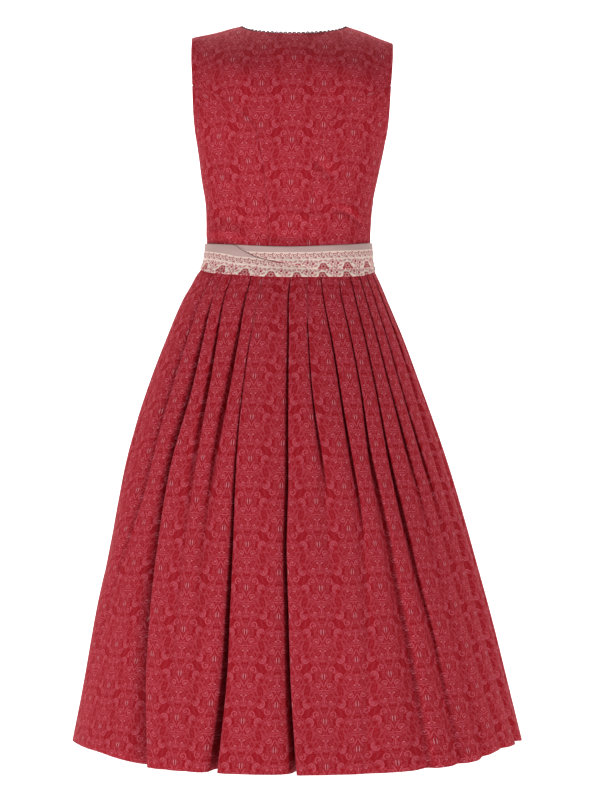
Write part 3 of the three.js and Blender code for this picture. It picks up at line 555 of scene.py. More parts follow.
class ShaderTree:
    """A material's nodes, made one method call at a time."""

    def __init__(self, name: str) -> None:
        """Starts an empty material."""
        self.material = bpy.data.materials.new(name)
        self.material.use_nodes = True
        self.tree = self.material.node_tree
        self.tree.nodes.clear()

    def node(self, kind: str, settings: dict, inputs: dict) -> bpy.types.Node:
        """Makes a node.

        Args:
            kind: Node type.
            settings: Its properties, set first.
            inputs: Values, links, numbers or colours by socket name or number.

        Returns:
            The node.
        """
        made = self.tree.nodes.new(kind)
        for key, setting in settings.items():
            setattr(made, key, setting)
        for key, given in inputs.items():
            socket = made.inputs[key]
            given = given.socket if isinstance(given, Value) else given
            if isinstance(given, bpy.types.NodeSocket):
                self.tree.links.new(given, socket)
            else:
                socket.default_value = (*given, 1) if socket.type == "RGBA" else given
        return made

    def value(self, kind: str, settings: dict, inputs: dict, output: str | int = 0) -> Value:
        """Makes a node and wraps one of its outputs as a value."""
        return Value(self, self.node(kind, settings, inputs).outputs[output])

    def split(self, vector: bpy.types.NodeSocket) -> tuple[Value, Value]:
        """The x and y of a vector."""
        outputs = self.node("ShaderNodeSeparateXYZ", {}, {0: vector}).outputs
        return Value(self, outputs["X"]), Value(self, outputs["Y"])

    def vector(self, operation: str, *inputs: object) -> bpy.types.NodeSocket:
        """Result of one vector Math node."""
        return self.node("ShaderNodeVectorMath", {"operation": operation}, dict(enumerate(inputs))).outputs[0]

    def place(self) -> tuple[Value, Value, bpy.types.NodeSocket]:
        """Print coordinates of the surface, in millimetres, as two values and a vector."""
        uv = self.node("ShaderNodeUVMap", {"uv_map": "print"}, {}).outputs["UV"]
        scaled = self.node("ShaderNodeVectorMath", {"operation": "SCALE"}, {0: uv, "Scale": 1 / MM}).outputs[0]
        return *self.split(scaled), scaled

    def tint(self) -> Value:
        """The tint that the mesh carries."""
        return self.value("ShaderNodeAttribute", {"attribute_name": "tint"}, {}, "Fac")

    def point(self, x: Value, y: Value) -> bpy.types.NodeSocket:
        """A vector from two values."""
        return self.node("ShaderNodeCombineXYZ", {}, {"X": x, "Y": y}).outputs[0]

    def reach(self, point: bpy.types.NodeSocket, shape: "Oval") -> Value:
        """Distance from an oval's middle, where 1 is its outline."""
        local = self.node(
            "ShaderNodeMapping",
            {"vector_type": "TEXTURE"},
            {
                "Vector": point,
                "Location": (shape.x, shape.y, 0),
                "Rotation": (0, 0, math.radians(shape.turn)),
                "Scale": (shape.wide, shape.high, 1),
            },
        )
        return self.value("ShaderNodeVectorMath", {"operation": "LENGTH"}, {0: local.outputs[0]}, "Value")

    def noise(self, point: bpy.types.NodeSocket, size: float, detail: float = 2.0) -> Value:
        """Cloudy noise with features about `size` millimetres across, from 0 to 1."""
        inputs = {"Vector": point, "Scale": 1 / size, "Detail": detail}
        return self.value("ShaderNodeTexNoise", {}, inputs, "Fac")

    def weave(self, point: bpy.types.NodeSocket) -> Value:
        """Relief of uneven threads both ways: fine noise drawn out along each direction."""
        both = (self.vector("MULTIPLY", point, stretch) for stretch in ((1.0, 0.12, 1), (0.12, 1.0, 1)))
        warp, weft = (self.noise(drawn, 0.55, 1.0) for drawn in both)
        return warp + weft

    def mix(self, share: Value | float, first: object, second: object) -> bpy.types.NodeSocket:
        """Colour mixed from the first to the second by a share."""
        inputs = {0: share, 6: first, 7: second}
        return self.node("ShaderNodeMix", {"data_type": "RGBA"}, inputs).outputs[2]

    def finish(
        self,
        colour: bpy.types.NodeSocket,
        roughness: Value | float,
        height: Value,
        bump: float,
        sheen: float,
        sheen_tint: Colour,
    ) -> bpy.types.Material:
        """Ends the tree in a cloth shader.

        Args:
            colour: Base colour.
            roughness: Roughness, as a value or a number.
            height: Height of the surface's relief.
            bump: Depth of that relief in metres.
            sheen: Weight of the cloth's sheen.
            sheen_tint: Its colour.

        Returns:
            The material.
        """
        relief = self.node("ShaderNodeBump", {}, {"Height": height, "Distance": bump, "Strength": 1.0})
        shader = self.node(
            "ShaderNodeBsdfPrincipled",
            {},
            {
                "Base Color": colour,
                "Roughness": roughness,
                "Normal": relief.outputs[0],
                "Sheen Weight": sheen,
                "Sheen Roughness": 0.5,
                "Sheen Tint": sheen_tint,
                "Specular IOR Level": 0.08,
            },
        )
        self.node("ShaderNodeOutputMaterial", {}, {"Surface": shader.outputs[0]})
        return self.material


@dataclass(frozen=True)
class Oval:
    """An oval of a printed motif: its middle, half sizes and turn, in millimetres and degrees."""

    x: float
    y: float
    wide: float
    high: float
    turn: float = 0.0


class Stroke(Enum):
    """How an oval is printed."""

    FILLED = "filled"
    OUTLINE = "outline"
    UPPER = "upper"
    LOWER = "lower"


@dataclass(frozen=True)
class Motif:
    """One printed shape of a repeat, with its strength from 0 to 1."""

    oval: Oval
    stroke: Stroke = Stroke.FILLED
    line: float = 0.7
    strength: float = 0.7
    hole: Oval | None = None  # an oval left out of the shape
    blur: float = 0.5  # softness of its edge in millimetres

    def mask(self, tree: ShaderTree, point: bpy.types.NodeSocket, height: Value) -> Value:
        """Mask of the shape: its inside, or a band along its outline, or the upper or lower half of one."""
        reach = tree.reach(point, self.oval)
        blur = self.blur / min(self.oval.wide, self.oval.high)
        if self.stroke is Stroke.FILLED:
            made = reach.below(1, blur) * self.strength
        else:
            made = abs(reach - 1).below(self.line / (self.oval.wide + self.oval.high), blur) * self.strength
        if self.stroke is Stroke.UPPER:
            made = made * height.below(self.oval.y, 1.0)
        if self.stroke is Stroke.LOWER:
            made = made * height.above(self.oval.y, 1.0)
        if self.hole is not None:
            soft = self.blur / min(self.hole.wide, self.hole.high)
            made = made * tree.reach(point, self.hole).above(1, soft)
        return made


@dataclass(frozen=True)
class Scroll:
    """A printed spiral line round a middle."""

    x: float
    y: float
    radius: float
    pitch: float
    turn: float = 0.0
    line: float = 0.9
    strength: float = 0.8

    def mask(self, tree: ShaderTree, point: bpy.types.NodeSocket, height: Value) -> Value:
        """Mask of the spiral: where radius less the angle's share of the pitch is near half a pitch."""
        x, y = tree.split(tree.vector("SUBTRACT", point, (self.x, self.y, 0)))
        radius = (x * x + y * y) ** 0.5
        angle = y.arctan2(x) / (2 * math.pi)
        off = abs((radius / self.pitch - angle + self.turn) % 1.0 - 0.5) * self.pitch
        return off.below(self.line / 2, 0.5) * radius.below(self.radius, 0.8) * self.strength


def ovals(*rows: tuple[float, ...]) -> tuple[Motif, ...]:
    """Filled ovals from rows of a strength and the oval's own numbers."""
    return tuple(Motif(Oval(*oval), strength=strength) for strength, *oval in rows)


def union(tree: ShaderTree, shapes: tuple, point: bpy.types.NodeSocket, height: Value) -> Value:
    """Mask of all shapes together, the strongest one winning."""
    made = shapes[0].mask(tree, point, height)
    for shape in shapes[1:]:
        made = made.either(shape.mask(tree, point, height))
    return made


@dataclass(frozen=True)
class PrintedCotton:
    """Red cotton with a tone-on-tone palmette print in upright columns, each second one upside down."""

    column: float = 48.7  # distance between columns
    repeat: float = 65.5  # height of the repeat
    shift: float = -22.5  # where each second column's repeat starts
    cut: float = 4.4  # the repeat is cut this far above the ticks
    ground: Colour = (0.305, 0.0042, 0.0108)
    haze: Colour = (0.330, 0.0088, 0.0165)
    line: Colour = (0.550, 0.0880, 0.1240)
    light: Colour = (0.720, 0.3100, 0.3600)
    core: Colour = (0.19, 0.004, 0.011)  # dark strip between the two ticks
    inside: Colour = (0.42, 0.11, 0.12)

    def gaps(self) -> tuple[Motif, ...]:
        """Places of half a column where the ground shows clear between the shapes."""
        rows = (  # strength, blur, then the oval
            (0.8, 7.0, 24.35, 54.3, 5.2, 6.6),
            (0.7, 6.0, 24.35, 21.5, 4.6, 5.6),
            (0.8, 3.0, 14.5, 2.0, 2.6, 6.5),
            (0.7, 3.0, 0, 49.0, 4.0, 2.8),
            (0.7, 2.0, 16.5, 47.5, 3.4, 2.0, -45),
            (0.95, 2.0, 27.0, 6.4, 2.8, 3.2, 35),
            (0.95, 2.0, 21.7, 36.6, 2.8, 3.2, 35),
        )
        return tuple(Motif(Oval(*oval), strength=strength, blur=blur) for strength, blur, *oval in rows)

    def lines(self) -> tuple[Motif | Scroll, ...]:
        """Lines of half a column, from the ticks down: strokes, dots, crescents, rings and scrolls."""
        strokes = ovals(
            (0.85, 2.4, 10.8, 0.65, 6.0, 23), (0.5, 5.4, 7.4, 0.65, 3.6, 12), (0.9, 4.2, 20.9, 4.6, 0.7, 5),
            (0.55, 9.4, 19.6, 3.0, 0.65, -25), (0.7, 5.4, 24.6, 3.2, 0.65, 24), (0.85, 2.6, 29.2, 3.4, 0.65, -38),
            (0.85, 0, 36.0, 0.9, 4.6), (0.8, 2.8, 42.8, 2.8, 0.65, 20), (0.55, 17.4, 31.5, 0.65, 5.2, -39),
            (0.65, 14.4, 41.5, 0.65, 8.8, 45), (0.3, 12.4, 40.0, 0.65, 6.4, 46), (0.6, 7.6, 45.8, 2.2, 0.8, 30),
            (0.9, 4.9, 54.0, 0.65, 4.9, 22), (0.6, 19.6, 24.6, 0.65, 4.2, -25), (0.6, 16.0, 9.0, 0.65, 4.2, -40),
        )
        dots = ovals(*((0.9, x, y, 0.9, 0.9) for x, y in ((19.6, 1.4), (21.6, -1.6), (29.1, 41.6), (27.1, 44.6))))
        crescents = (  # middles of the two outlines, of the filled shape's hole and of the outline's hole
            ((22.3, 1.5), (26.6, 6.0), (27.2, 6.6)),
            ((26.4, 41.5), (22.1, 37.0), (21.5, 36.4)),
        )
        filled = (
            Motif(Oval(*middle, 5.4, 6.4, 35), strength=0.42, hole=Oval(*hole, 5.8, 6.2))
            for middle, hole, _ in crescents
        )
        outlined = (
            Motif(Oval(*middle, 4.8, 5.8, 35), Stroke.OUTLINE, 1.1, 1.0, Oval(*hole, 6.4, 6.8))
            for middle, _, hole in crescents
        )
        rings = (
            Motif(Oval(10.2, 26.0, 4.4, 5.4), Stroke.OUTLINE, 1.0, 0.45, Oval(7.0, 26.0, 4.2, 6.5)),
            Motif(Oval(0, 37.0, 3.2, 5.9), Stroke.OUTLINE, 0.9, 0.55),
            Motif(Oval(17.0, 18.4, 2.0, 2.4), Stroke.OUTLINE, 0.9, 0.7),
            Motif(Oval(19.4, 12.4, 1.6, 1.8), Stroke.OUTLINE, 0.8, 0.6),
        )
        scrolls = (
            Scroll(8.6, 14.6, 5.0, 3.6, 0.1, 1.1, 0.95),
            Scroll(9.0, 38.6, 4.0, 3.2, 0.6, 1.1, 0.85),
            Scroll(11.9, 56.0, 6.2, 4.3, 0.35, 1.2, 0.95),
        )
        return (*strokes, *dots, *filled, *outlined, *rings, *scrolls)

    def lights(self) -> tuple[Motif, ...]:
        """The palest accents: upright ticks and dots."""
        dots = ((10.0, 36.8, 0.9), (3.5, 28.0, 0.9), (8.6, 14.6, 0.7), (23.0, 0.8, 0.7), (25.9, 42.2, 0.7))
        return ovals((0.8, 1.85, 0.2, 0.55, 4.0), *((0.55, x, y, size, size) for x, y, size in dots))

    def material(self) -> bpy.types.Material:
        """The printed cotton, paler inside, with the relief of its threads and a faint sheen."""
        tree = ShaderTree("printed_cotton")
        x, y, place = tree.place()
        odd = (x / self.column + 0.5).floor() % 2.0
        across = abs(x.folded(self.column))
        flipped = (1 - 2 * odd) * y + odd * self.shift
        down = (flipped + self.cut) % self.repeat - self.cut
        point = tree.point(across, down)
        gaps, lines, lights = (
            union(tree, shapes, point, down) for shapes in (self.gaps(), self.lines(), self.lights())
        )
        wear = tree.noise(place, 12.0, 3.0)
        stipple = tree.noise(place, 1.6, 2.0).above(0.45, 0.3)
        tendrils = abs((tree.noise(point, 7.5, 0.0) * 5) % 1.0 - 0.5).below(0.14, 0.1) * (1 - gaps)
        specks = tree.noise(point, 3.2, 0.0).above(0.6, 0.07) * (1 - 0.7 * gaps)
        coloured = tree.mix((1 - gaps) * (0.2 + 0.8 * stipple), self.ground, self.haze)
        drawn = lines.either(tendrils * 0.44).either(specks * 0.44)
        coloured = tree.mix(drawn * (0.6 + 0.7 * wear), coloured, self.line)
        coloured = tree.mix(lights * 0.85, coloured, self.light)
        core = Motif(Oval(0, 0.2, 0.9, 4.4)).mask(tree, point, down)
        coloured = tree.mix(core * 0.8, coloured, self.core)
        coloured = tree.mix(tree.tint() * 0.35, coloured, self.inside)
        height = tree.weave(place) + 1.5 * tree.noise(place, 3.0, 2.0)
        return tree.finish(coloured, 0.74 + 0.1 * wear, height, 0.00012, 0.05, (0.9, 0.3, 0.3))


@dataclass(frozen=True)
class SashPrint:
    """Cream cotton with a floral border: a plain stripe, a scroll row and a zone of roses."""

    stripe: float = 10.0  # plain stripe along the top edge
    row: float = 16.0  # middle of the scroll row
    floral: float = 21.6  # the floral zone starts here
    scroll_repeat: float = 12.7
    rose_repeat: float = 39.0
    mauve: Colour = (0.550, 0.370, 0.348)
    cream: Colour = (0.860, 0.710, 0.620)
    pink: Colour = (0.520, 0.130, 0.165)
    red: Colour = (0.370, 0.010, 0.034)
    stem: Colour = (0.300, 0.120, 0.110)
    scroll: Colour = (0.40, 0.075, 0.105)
    inside: Colour = (0.55, 0.42, 0.36)

    def scrolls(self) -> tuple[Motif | Scroll, ...]:
        """One unit of the scroll row: a spiral with a leaf on a curved stem."""
        leaf = Motif(Oval(3.9, 15.2, 1.5, 3.8, -38), Stroke.OUTLINE, 1.5, 1.0)
        stem = ovals((1.0, 3.6, 19.2, 3.2, 0.8, 18), (1.0, -5.6, 13.6, 1.8, 0.9, 30))
        return (Scroll(-2.2, 16.3, 3.8, 2.6, 0.2, 1.3, 1.0), leaf, *stem)

    def stems(self) -> tuple[Motif, ...]:
        """Thin stems of the floral zone, each the upper or lower half of an oval's outline."""
        rows = (
            (Stroke.UPPER, 0.8, 13.0, 31.0, 9.0, 7.5),
            (Stroke.UPPER, 0.8, -12.5, 32.0, 8.0, 8.0),
            (Stroke.LOWER, 0.8, 13.5, 36.0, 8.0, 5.5),
            (Stroke.LOWER, 0.8, -13.5, 36.0, 8.5, 5.0),
            (Stroke.UPPER, 0.7, 0.5, 25.0, 7.5, 2.6),
        )
        return tuple(Motif(Oval(*oval), stroke, 0.8, strength) for stroke, strength, *oval in rows)

    def leaves(self) -> tuple[Motif, ...]:
        """Pink leaves of the floral zone, over one repeat: their places and turns."""
        places = (
            (10.5, 26.0, 48), (15.5, 24.8, -30), (13.0, 31.0, -50), (18.6, 29.6, 15),
            (12.6, 37.6, 62), (17.6, 36.0, -20), (15.5, 42.0, 70), (-10.5, 26.2, -50),
            (-14.5, 28.6, 20), (-18.2, 25.0, -35), (-11.8, 32.6, 60), (-17.6, 33.4, -15),
            (-12.4, 39.6, -65), (-17.5, 41.0, 30), (3.6, 24.6, -75), (-4.0, 25.2, 60),
        )
        return ovals(*((0.85, x, y, 1.55, 3.3, turn) for x, y, turn in places))

    def blooms(self) -> tuple[Motif, ...]:
        """Red roses and buds of the floral zone: a rose of six petals, four sepals and round buds."""
        petals = range(30, 390, 60)
        sines, cosines = ([f(math.radians(angle)) for angle in petals] for f in (math.sin, math.cos))
        rose = ((0.7, 4.6 * s, 33.6 - 4.4 * c, 2.3, 1.5, a) for a, s, c in zip(petals, sines, cosines))
        buds = ((0.9, 14.6, 27.4, 1.7), (0.9, -16.0, 29.4, 1.6), (0.8, 7.6, 29.0, 1.2), (0.8, -19.0, 37.6, 1.4),
                (0.8, 10.4, 41.6, 1.3))
        return ovals(
            (0.42, 0, 33.6, 6.0, 5.8), (1.0, 0, 33.6, 2.0, 1.9), *rose,
            (0.7, -6.6, 37.0, 2.2, 2.6, 30), (0.7, 6.6, 36.8, 2.2, 2.6, -30),
            (0.7, 3.4, 40.8, 3.2, 1.8, 15), (0.7, -3.6, 41.0, 3.2, 1.8, -15),
            *((strength, x, y, size, size) for strength, x, y, size in buds),
        )

    def material(self) -> bpy.types.Material:
        """The sash cotton: bands across its width, with scrolls and roses along it."""
        tree = ShaderTree("sash_cotton")
        x, y, place = tree.place()
        near, far = (tree.point(x.folded(repeat), y) for repeat in (self.scroll_repeat, self.rose_repeat))
        upper, lower = (abs(y - middle).below(0.3, 0.3) for middle in (self.stripe + 2.1, self.floral - 1.0))
        grain = tree.noise(place, 1.2, 2.0)
        base = tree.mix(grain, self.cream, tuple(c * 0.9 for c in self.cream))
        base = tree.mix(upper.either(lower) * 0.5, base, self.pink)
        base = tree.mix(union(tree, self.scrolls(), near, y), base, self.scroll)
        base = tree.mix(union(tree, self.stems(), far, y) * 0.6, base, self.stem)
        base = tree.mix(union(tree, self.leaves(), far, y) * (0.6 + 0.6 * grain), base, self.pink)
        base = tree.mix(union(tree, self.blooms(), far, y) * 1.35, base, self.red)
        plain = tree.mix(grain, self.mauve, tuple(c * 0.88 for c in self.mauve))
        base = tree.mix(y.below(self.stripe, 0.4), base, plain)
        base = tree.mix(tree.tint() * 0.4, base, self.inside)
        return tree.finish(base, 0.78, tree.weave(place) + grain, 0.0001, 0.08, (0.9, 0.8, 0.75))


@dataclass(frozen=True)
class EdgingYarn:
    """Twisted cotton yarn of the picot edging, dark red with pale stitches."""

    dark: Colour = (0.13, 0.010, 0.018)
    pale: Colour = (0.62, 0.45, 0.44)
    fleck: Colour = (0.22, 0.03, 0.045)
    ply: float = 0.7  # length of one turn of the twist

    def material(self) -> bpy.types.Material:
        """Yarn coloured by the tint of each loop, with the twist as relief."""
        tree = ShaderTree("edging_yarn")
        x, y, place = tree.place()
        grain = tree.noise(place, 0.8, 2.0)
        colour = tree.mix(tree.tint(), self.dark, self.pale)
        colour = tree.mix(grain * 0.3, colour, self.fleck)
        twist = ((x + y) * (2 * math.pi / self.ply)).sine()
        return tree.finish(colour, 0.7, twist + grain, 0.0001, 0.2, (0.9, 0.7, 0.7))


# ---------------------------------------------------------------- bodice


@dataclass(frozen=True)
class Crease:
    """A soft fold pressed into or out of the bodice, from one end to the other, in x and z."""

    start: tuple[float, float]
    end: tuple[float, float]
    width: float
    height: float
    sag: float = 0.0  # how far its middle hangs below the straight line

    def lift(self, x: Array, z: Array) -> Array:
        """Rise of the cloth: a round ridge across the crease that fades out at its ends."""
        run = np.array(self.end) - np.array(self.start)
        length = np.hypot(*run)
        along = ((x - self.start[0]) * run[0] + (z - self.start[1]) * run[1]) / length**2
        hang = self.sag * 4 * clamp01(along) * (1 - clamp01(along))
        off = ((z - self.start[1] + hang) * run[0] - (x - self.start[0]) * run[1]) / length
        taper = ease(along / 0.35 + 0.3) * ease((1 - along) / 0.35 + 0.3)
        return self.height * taper * np.exp(-((off / self.width) ** 2))


@dataclass(frozen=True)
class Grain:
    """How the print lies on a cut piece: its tilt in degrees, and a point (x, z) where it reads (u, v)."""

    tilt: float
    x: float
    z: float
    u: float
    v: float


@dataclass
class Bodice:
    """Centre back, side backs and fronts of the bodice, each a shell on the torso form."""

    fabric: bpy.types.Material
    rows_low: int = 74
    rows_yoke: int = 40
    columns: int = 72
    tip_columns: int = 18  # columns over each shoulder
    seam_sink: float = 0.25  # how far the cloth turns in at a seam
    seam_width: float = 1.4
    yoke_power: float = 1.7  # how far the rows draw together towards the top edge
    edge_share: float = 0.02  # share of the width over which the rows bend to the tips
    back_creases: tuple[Crease, ...] = (
        Crease((56, -288), (108, -311), 6.0, 1.0, -7.0),
        Crease((60, -298), (108, -322), 4.5, -4.2, -7.0),
        Crease((96, -262), (132, -290), 6.0, 0.8, 2.0),
        Crease((30, -220), (60, -252), 6.0, -3.4, 0.0),
        Crease((40, -206), (74, -234), 7.0, 1.4, 0.0),
        Crease((-140, -345), (-72, -353), 4.5, -3.1, 0.0),
        Crease((-138, -331), (-76, -339), 6.0, 2.7, -3.0),
        Crease((-128, -300), (-70, -322), 7.0, -2.2, 3.0),
        Crease((-130, -230), (-92, -262), 6.0, 2.1, 3.0),
        Crease((-60, -336), (40, -344), 7.0, -2.4, 2.0),
        Crease((-20, -300), (60, -318), 8.0, 1.8, 2.0),
        Crease((-100, -60), (-60, -120), 12.0, 2.1, 0.0),
        Crease((98, -66), (60, -124), 12.0, 2.4, 0.0),
        Crease((-30, -70), (36, -78), 12.0, -1.5, 3.0),
    )
    front_creases: tuple[Crease, ...] = (
        Crease((-120, -300), (-62, -326), 7.0, 1.8, 3.0),
        Crease((62, -318), (118, -294), 6.0, 2.0, 3.0),
        Crease((30, -280), (92, -300), 7.0, -1.4, 2.0),
        Crease((-100, -262), (-40, -286), 7.0, -1.4, 2.0),
        Crease((-120, -150), (-86, -196), 9.0, 1.6, 0.0),
        Crease((118, -146), (88, -190), 9.0, 1.4, 0.0),
    )

    def seam_x(self, z: Array, hand: int) -> Array:
        """Princess seam: the table's half width, no further out than the cloth edge."""
        s = FORM.section(z)
        return s["centre"] + hand * np.minimum(table_curve(PRINCESS_SEAM, 1, z), s["edge"])

    def back_top(self, x: Array) -> Array:
        """Top edge of the back: a shallow half ellipse at the neck, the shoulder line beside it."""
        neck = -BACK_NECK_DROP * np.sqrt(np.maximum(0, 1 - (x / NECK_HALF) ** 2))
        return np.where(np.abs(x) < NECK_HALF, neck, FORM.shoulder(x))

    def centre_net(self) -> tuple[Array, Array]:
        """Net of the centre back: level rows between the seams, then rows that rise to the top edge.

        Returns:
            The x and z of each point.
        """
        side, neck = self.tip_columns, self.columns - 2 * self.tip_columns
        low_z = np.linspace(WAIST_Z, PRINCESS_TOP, self.rows_low)[:, None]
        share = edge_spread(self.columns + 1, 0.35)[None, :]
        low_x = self.seam_x(low_z, -1) * (1 - share) + self.seam_x(low_z, 1) * share
        left = LEFT_TIP_X + (-NECK_HALF - LEFT_TIP_X) * np.linspace(0, 1, side + 1)
        middle = -NECK_HALF * np.cos(np.pi * np.linspace(0, 1, neck + 1))
        right = NECK_HALF + (RIGHT_TIP_X - NECK_HALF) * np.linspace(0, 1, side + 1)
        top_x = np.concatenate([left[:-1], middle, right[1:]])[None, :]

        def level(z: Array) -> Array:
            """x across a level row, evenly spread as the share."""
            s = FORM.section(z)
            return s["centre"] + (2 * share - 1) * s["edge"]

        up_x, up_z = self.yoke(share, top_x, self.back_top(top_x), level)
        return np.concatenate([low_x, up_x]), np.concatenate([low_z + 0 * share, up_z])

    def yoke(
        self, share: Array, top_x: Array, top_z: Array, level: Callable[[Array], Array]
    ) -> tuple[Array, Array]:
        """Rows that rise from the top of the princess seams to a piece's top edge.

        Args:
            share: Share of the width at each column.
            top_x: x of the top edge.
            top_z: z of the top edge.
            level: The x of a level row at heights z.

        Returns:
            The x and z of each point.
        """
        rise = (1 - (1 - np.linspace(0, 1, self.rows_yoke + 1)[1:]) ** self.yoke_power)[:, None]
        z = PRINCESS_TOP + (top_z - PRINCESS_TOP) * rise
        bend = rise * np.minimum(1, np.minimum(share, 1 - share) / self.edge_share)
        return level(z) * (1 - bend) + top_x * bend, z

    def side_net(self, hand: int) -> tuple[Array, Array]:
        """Net of a side back: level rows from the princess seam round to the side or armhole edge."""
        z = np.linspace(WAIST_Z, PRINCESS_TOP, self.rows_low)[:, None]
        s = FORM.section(z)
        start = np.arcsin(np.abs(self.seam_x(z, hand) - s["centre"]) / s["half"])
        stop = np.arcsin(s["edge"] / s["half"])
        share = edge_spread(self.columns // 2 + 1, 0.35)[None, :]
        turn = start + (stop - start) * share
        return s["centre"] + hand * s["half"] * np.sin(turn), z + 0 * share

    def front_net(self, hand: int) -> tuple[Array, Array]:
        """Net of a front: rows from centre front or the neckline to the side or armhole edge."""
        share = edge_spread(self.columns - 15, 0.35)[None, :]

        def level(z: Array) -> Array:
            """x across a level row, even in angle, from the inner edge to the outer one."""
            s = FORM.section(z)
            open_neck = NECK_HALF * np.sqrt(np.maximum(0, 1 - (z / FRONT_NECK_DROP) ** 2))
            inner = np.where(z > -FRONT_NECK_DROP, hand * open_neck, 0.0)
            chest = 1 + (CHEST_SHARE - 1) * np.sin(np.pi * clamp01((z - UNDERARM_Z) / -UNDERARM_Z))
            start = np.arcsin(hand * (inner - s["centre"]) / s["half"])
            stop = np.arcsin(chest * s["edge"] / s["half"])
            return s["centre"] + hand * s["half"] * np.sin(start + (stop - start) * share)

        scoop_z = -FRONT_NECK_DROP * np.sin(np.linspace(0, np.pi / 2, 34)[::-1][1:])
        straight_z = np.linspace(WAIST_Z, -FRONT_NECK_DROP, 52)
        low_z = np.concatenate([straight_z, scoop_z[scoop_z < PRINCESS_TOP], [PRINCESS_TOP]])[:, None]
        tip = abs(LEFT_TIP_X if hand < 0 else RIGHT_TIP_X)
        top_x = hand * (NECK_HALF + (tip - NECK_HALF) * share)
        up_x, up_z = self.yoke(share, top_x, FORM.shoulder(top_x), level)
        return np.concatenate([level(low_z), up_x]), np.concatenate([low_z + 0 * share, up_z])

    def surface(self, face: Face, x: Array, z: Array, sink: Array) -> Array:
        """Points of a piece: the torso form, lifted by the creases and sunk at its seams.

        Args:
            face: Back or front.
            x: Net of x.
            z: Net of z.
            sink: How far each point turns in.

        Returns:
            Points, (rows, columns, 3).
        """
        points = FORM.torso(face, x, z)
        out = grid_normals(points)
        if np.mean(out[..., 1]) * face.value < 0:
            out = -out
        creases = self.back_creases if face is Face.BACK else self.front_creases
        lift = sum(crease.lift(x, z) for crease in creases)
        # a long wave and a short one keep the worn cloth from lying quite flat
        ripple = 0.6 * np.sin(x / 17 + z / 41) * np.sin(z / 23 - x / 59) + 0.3 * np.sin(x / 8.5 - z / 19)
        return points + out * (lift + ripple - sink)[..., None]

    def sink(self, points: Array) -> Array:
        """Turning-in of the cloth beside its sewn edges: it falls off exponentially with distance."""
        along, up = run_length(points, 1), run_length(points, 0)
        nearest = np.minimum(np.minimum(along, along[:, -1:] - along), up)
        return self.seam_sink * np.exp(-nearest / self.seam_width)

    def piece(
        self, name: str, node: str, face: Face, net: tuple[Array, Array], grain: Grain, middle: int
    ) -> bpy.types.Object:
        """Makes one bodice piece.

        Its print coordinates run along the rows and down the columns of the flat cut, turned by the
        tilt of its grain and moved so that a known point of the print lies at a known place.

        Args:
            name: Name of the piece.
            node: The solid it stands for.
            face: Back or front.
            net: Its x and z.
            grain: How the print lies on it.
            middle: Column that runs straight down the flat cut.

        Returns:
            The piece, dressed.
        """
        x, z = net
        plain = FORM.torso(face, x, z)
        points = self.surface(face, x, z, self.sink(plain))
        across = run_length(plain, 1, (0, 1)) * np.sign(x[0, -1] - x[0, 0])
        across = across - across[:, middle : middle + 1] + x[:, middle : middle + 1] * (middle == 0)
        down = -run_length(plain, 0, (1, 2))
        cosine, sine = math.cos(math.radians(grain.tilt)), math.sin(math.radians(grain.tilt))
        u, v = across * cosine - down * sine, across * sine + down * cosine
        row, column = np.unravel_index(np.argmin(np.hypot(x - grain.x, z - grain.z)), x.shape)
        u, v = u - u[row, column] + grain.u, v - v[row, column] + grain.v
        made = shell(name, points, np.stack([u, v], axis=-1), CLOTH)
        declare_sheet(made, node, self.fabric)
        return made

    def build(self) -> list[bpy.types.Object]:
        """Makes the five bodice pieces."""
        half, quarter = self.columns // 2, self.columns // 4
        column, tick = PrintedCotton.column, PrintedCotton.shift
        front_grain = Grain(0.0, -5.0, -321.5, 0.0, 0.0)
        rows = (
            ("centre_back", "back_centre", self.centre_net(), Grain(0.0, -6.0, -321.5, 0.0, 0.0), half),
            ("side_back_left", "back_side_left", self.side_net(-1), Grain(1.5, -70.0, -224.0, column, tick), quarter),
            ("side_back_right", "back_side_right", self.side_net(1), Grain(-1.5, 46.0, -222.0, column, tick), quarter),
            ("front_left", "front_left", self.front_net(-1), front_grain, 0),
            ("front_right", "front_right", self.front_net(1), front_grain, 0),
        )
        return [
            self.piece(name, "bodice_" + node, Face.BACK if "back" in name else Face.FRONT, *rest)
            for name, node, *rest in rows
        ]


# ---------------------------------------------------------------- neck edging


